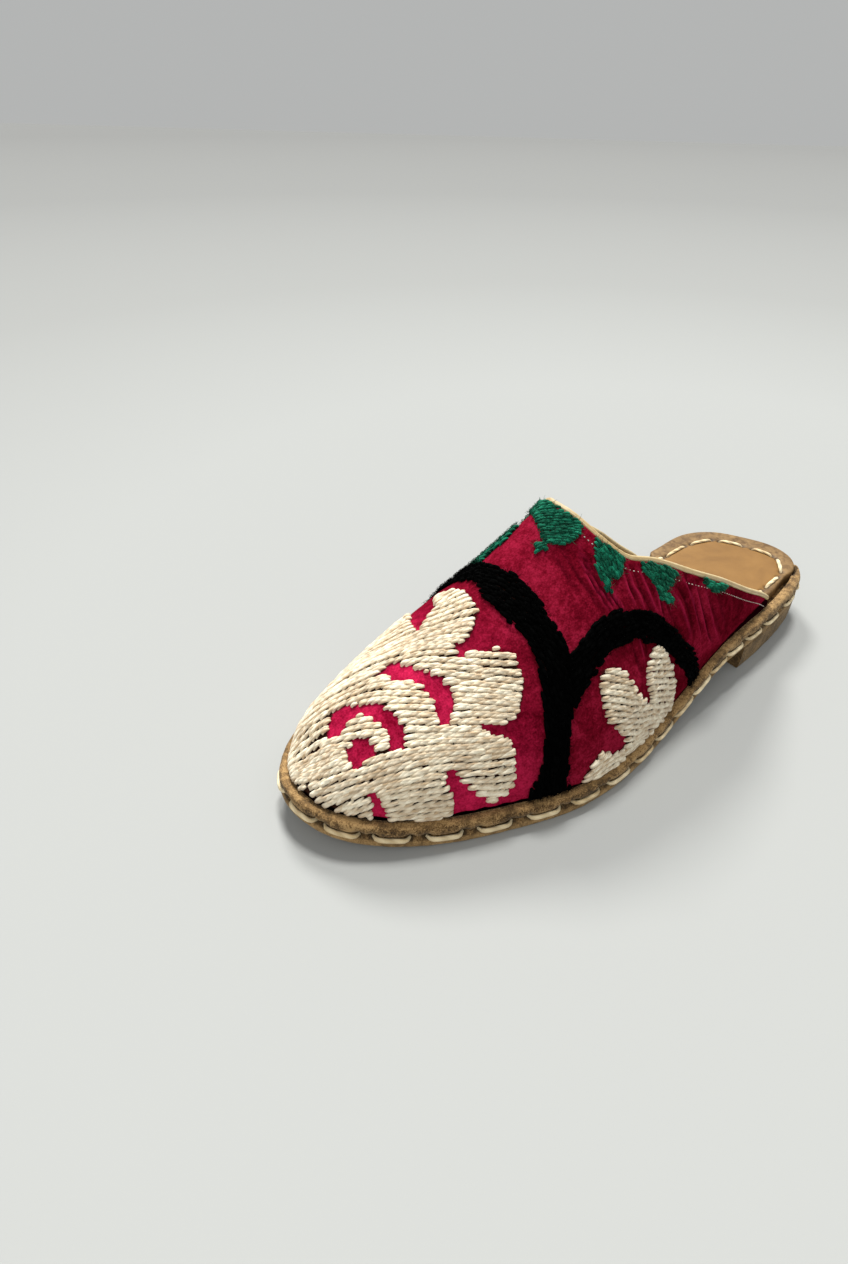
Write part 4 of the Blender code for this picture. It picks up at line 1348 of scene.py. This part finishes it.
def stitch_line_gap(x, y):
    """Distance to the insole's stitch line, its sign positive on the margin side, and how
    close the nearest hole is."""
    path = np.array([p for span in INSOLE_STITCHES for p in span], float)
    gap, sign = np.full(len(x), 1e9), np.zeros(len(x))
    for a, b in zip(path[:-1], path[1:]):
        d = b - a
        t = np.clip(((x - a[0]) * d[0] + (y - a[1]) * d[1]) / (d @ d), 0, 1)
        px, py = x - a[0] - t * d[0], y - a[1] - t * d[1]
        dist = np.hypot(px, py)
        turn = d[0] * py - d[1] * px
        better = dist < gap
        gap[better], sign[better] = dist[better], np.sign(turn)[better]
    hole = np.min([np.hypot(x - p[0], y - p[1]) for p in path], axis=0)
    return gap, sign, hole


def make_insole():
    """Insole with an eased edge, and a shallow channel under its stitches."""
    count = 560
    turns = FULL_TURN * (np.arange(count) + 0.5) / count
    insets = [0.25, 0.0, 0.0, 0.12, 0.5, 1.2, 2.2, 3.4, 4.4, 5.2, 6.0, 6.5, 7.0, 7.5, 8.0, 8.8,
              9.8, 11.0]
    depths = [None, 0.3, -1.0, -0.5, -0.12, 0, 0, 0, 0, 0, 0, 0, 0, 0, 0, 0, 0, 0]
    loops = []
    for inset, depth in zip(insets, depths):
        for turn in turns:
            thick = insole_thickness(rim(turn)[0]) * MM
            draw = (insole_inset(turn) * MM + inset) / MM
            if depth is None:
                up = 0.0
            elif depth > 0:
                up = depth
            else:
                up = thick + depth
            loops.append(edge(turn, draw, SEAT + up / MM) * MM)
    points = np.array(loops).reshape(len(insets), count, 3)
    inner = points[-1]
    mirror = inner[::-1]
    extra = []
    for share in (0.16, 0.32, 0.48, 0.64, 0.8, 0.92):
        extra.append(inner * (1 - share / 2) + mirror * share / 2)
    points = np.concatenate([points, np.array(extra)])
    rows = len(points)
    flat = points.reshape(-1, 3)
    gap, sign, hole = stitch_line_gap(flat[:, 0], flat[:, 1])
    top = np.repeat(np.arange(rows) >= 4, count)
    channel = np.exp(-(gap / 0.9) ** 2) * top * (flat[:, 0] < 78)
    dimple = np.exp(-(hole / 1.3) ** 2) * top
    flat[:, 2] -= 0.35 * channel + 0.55 * dimple
    edge_in = np.repeat(np.array(insets + [20] * 6, float), count)
    ahead = smoothstep(70, 85, flat[:, 0])
    margin = 0.5 + sign * np.clip(gap / 3.0, 0, 0.5)
    margin = margin * (1 - ahead) + np.clip(1.1 - edge_in / 8.0, 0, 1) * ahead
    faces = grid_faces(rows, count, wrap=True)[:, ::-1].tolist()
    faces += end_faces(rows, count, (False, True))
    made = mesh_object("leather_insole", flat, faces, [INSOLE],
                       values={"margin": margin, "pinch": np.clip(dimple + channel * 0.25, 0, 1)})
    sharpen(made, 50)
    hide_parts("insole")
    return flat


def insole_top(x):
    x_heel = x / MM + HEEL_CENTRE
    return (underside(x_heel) + SEAT + insole_thickness(x_heel)) * MM


def make_insole_stitches():
    steps = 11
    t = np.linspace(0, 1, steps)
    arch = 1 - np.abs(2 * t - 1) ** 5
    centres = []
    for a, b in INSOLE_STITCHES:
        a, b = np.array(a, float), np.array(b, float)
        line = a + (b - a) * t[:, None]
        z = np.array([insole_top(x) for x in line[:, 0]]) - 0.75 + 1.05 * arch
        centres.append(np.column_stack([line, z]))
    ups = np.zeros((len(centres), steps, 3))
    ups[..., 2] = 1
    radii = np.broadcast_to(0.5 + 0.35 * arch, (len(centres), steps))
    made = tubes("insole_stitches", np.array(centres), ups, radii, WAXED, sides=9, flat=0.75,
                 pitch=4.5)


def make_heel():
    """Heel block flush with the sole's edge, its breast a little hollow."""
    count = 220
    reach = turn_at(HEEL_LENGTH - 0.0019)
    turns = np.linspace(-reach, reach, count)
    levels = ((0.30, 1.00), (0.05, 0.97), (-0.05, 0.85), (-0.10, 0.60), (-0.10, 0.35),
              (-0.02, 0.15), (0.15, 0.05), (0.60, 0.00))
    uneven = waver(round_edge.at(turns % FULL_TURN), 1.0, 0.10)
    points, worn = [], []
    for inset, share in levels:
        for k, turn in enumerate(turns):
            x, y, _ = edge(turn, (inset - uneven[k]) / MM, 0.0) * MM
            top = underside(rim(turn % FULL_TURN)[0]) * MM - 0.02
            points.append((x, y, top * share))
            worn.append(1.0 if share < 0.2 else 0.3)
    rows = len(levels)
    faces = grid_faces(rows, count, wrap=True).tolist()
    faces += end_faces(rows, count, (True, False))
    made = mesh_object("leather_heel", points, faces, [HEEL],
                       values={"pinch": np.zeros(len(points)), "worn": worn})
    sharpen(made)
    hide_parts("heel")


# ---------- stage

CAMERA_PLACE = (0.2799, 0.1525, 0.1962)
CAMERA_RIGHT = (-0.8252, 0.5648, 0.0152)
CAMERA_FORWARD = (-0.4583, -0.6533, -0.6026)
FRAME_HEIGHT, FOCAL_PIXELS, SENSOR = 1264, 720, 36.0


def make_camera():
    data = bpy.data.cameras.new("camera")
    data.sensor_fit = "VERTICAL"
    data.sensor_height = data.sensor_width = SENSOR
    data.lens = FOCAL_PIXELS / FRAME_HEIGHT * SENSOR
    data.clip_start, data.clip_end = 0.01, 20
    camera = bpy.data.objects.new("camera", data)
    right = units(np.array(CAMERA_RIGHT))
    forward = np.array(CAMERA_FORWARD)
    forward = units(forward - right * (forward @ right))
    up = np.cross(right, forward)
    axes = np.column_stack([right, up, -forward])
    placed = Matrix(axes.tolist()).to_4x4()
    placed.translation = CAMERA_PLACE
    camera.matrix_world = placed
    bpy.context.scene.collection.objects.link(camera)
    bpy.context.scene.camera = camera


def turned(direction):
    """Rotation that points an object's -Z along a direction."""
    return Vector(direction).to_track_quat("-Z", "Y").to_matrix().to_4x4()


def sun(name, direction, energy, colour, spread):
    """Soft sun that shines along a direction; spread is its width in degrees."""
    data = bpy.data.lights.new(name, "SUN")
    data.energy, data.color, data.angle = energy, colour, math.radians(spread)
    made = bpy.data.objects.new(name, data)
    made.matrix_world = turned(direction)
    bpy.context.scene.collection.objects.link(made)


def backdrop(name, corners, finish, shades=True):
    mesh = bpy.data.meshes.new(name)
    mesh.from_pydata(corners, [], [(0, 1, 2, 3)])
    mesh.materials.append(finish)
    made = bpy.data.objects.new(name, mesh)
    made.visible_shadow = shades
    bpy.context.scene.collection.objects.link(made)


def make_stage():
    """Pale floor with painted shade that greys it with distance, a far grey card, sky light and
    three suns.
    """
    floor, tree, shader = new_material("pale_floor", 0.95, specular=0.0)
    away = tree.nodes.new("ShaderNodeVectorMath")
    away.operation = "LENGTH"
    tree.links.new(place(tree), away.inputs[0])
    # Painted shade: the floor's colour darkens with distance, standing in for light falling off.
    reach = calc(tree, "DIVIDE", away.outputs["Value"], 4.0)
    tone = ramp(tree, reach, (0.08, (0.375, 0.385, 0.380)), (0.18, (0.318, 0.325, 0.320)),
                (0.42, (0.262, 0.267, 0.264)), (1.0, (0.228, 0.232, 0.230)))
    wear(tree, shader, tone)
    low, far = -0.0002, 9.0
    backdrop("floor", [(-far, -far, low), (far, -far, low), (far, far, low), (-far, far, low)],
             floor)
    card, tree, shader = new_material("far_card", 1.0, specular=0.0)
    shader.inputs["Base Color"].default_value = (0, 0, 0, 1)
    shader.inputs["Emission Color"].default_value = (0.455, 0.462, 0.458, 1)
    shader.inputs["Emission Strength"].default_value = 1.0
    backdrop("far_card", [(-8, 2, low), (2, -8, low), (2, -8, 2.5), (-8, 2, 2.5)], card,
             shades=False)
    world = bpy.data.worlds.new("studio")
    world.use_nodes = True
    back = world.node_tree.nodes["Background"]
    back.inputs["Color"].default_value = (0.95, 0.98, 1.0, 1)
    back.inputs["Strength"].default_value = 0.38
    bpy.context.scene.world = world
    sun("low_sun", (0.27, 0.66, -0.70), 2.7, (1.0, 0.985, 0.95), 14)
    sun("high_sun", (0.24, 0.30, -0.92), 2.75, (1.0, 0.985, 0.95), 12)
    sun("front_fill", (-0.55, -0.45, -0.70), 0.9, (1.0, 0.97, 0.92), 50)
    bpy.context.scene.view_settings.view_transform = "Standard"


for make in (make_velvet, make_embroidery, make_fluff, make_binding, make_machine_stitches,
             make_outsole, make_welt, make_sole_stitches, make_insole, make_insole_stitches,
             make_heel, make_stage, make_camera):
    make()
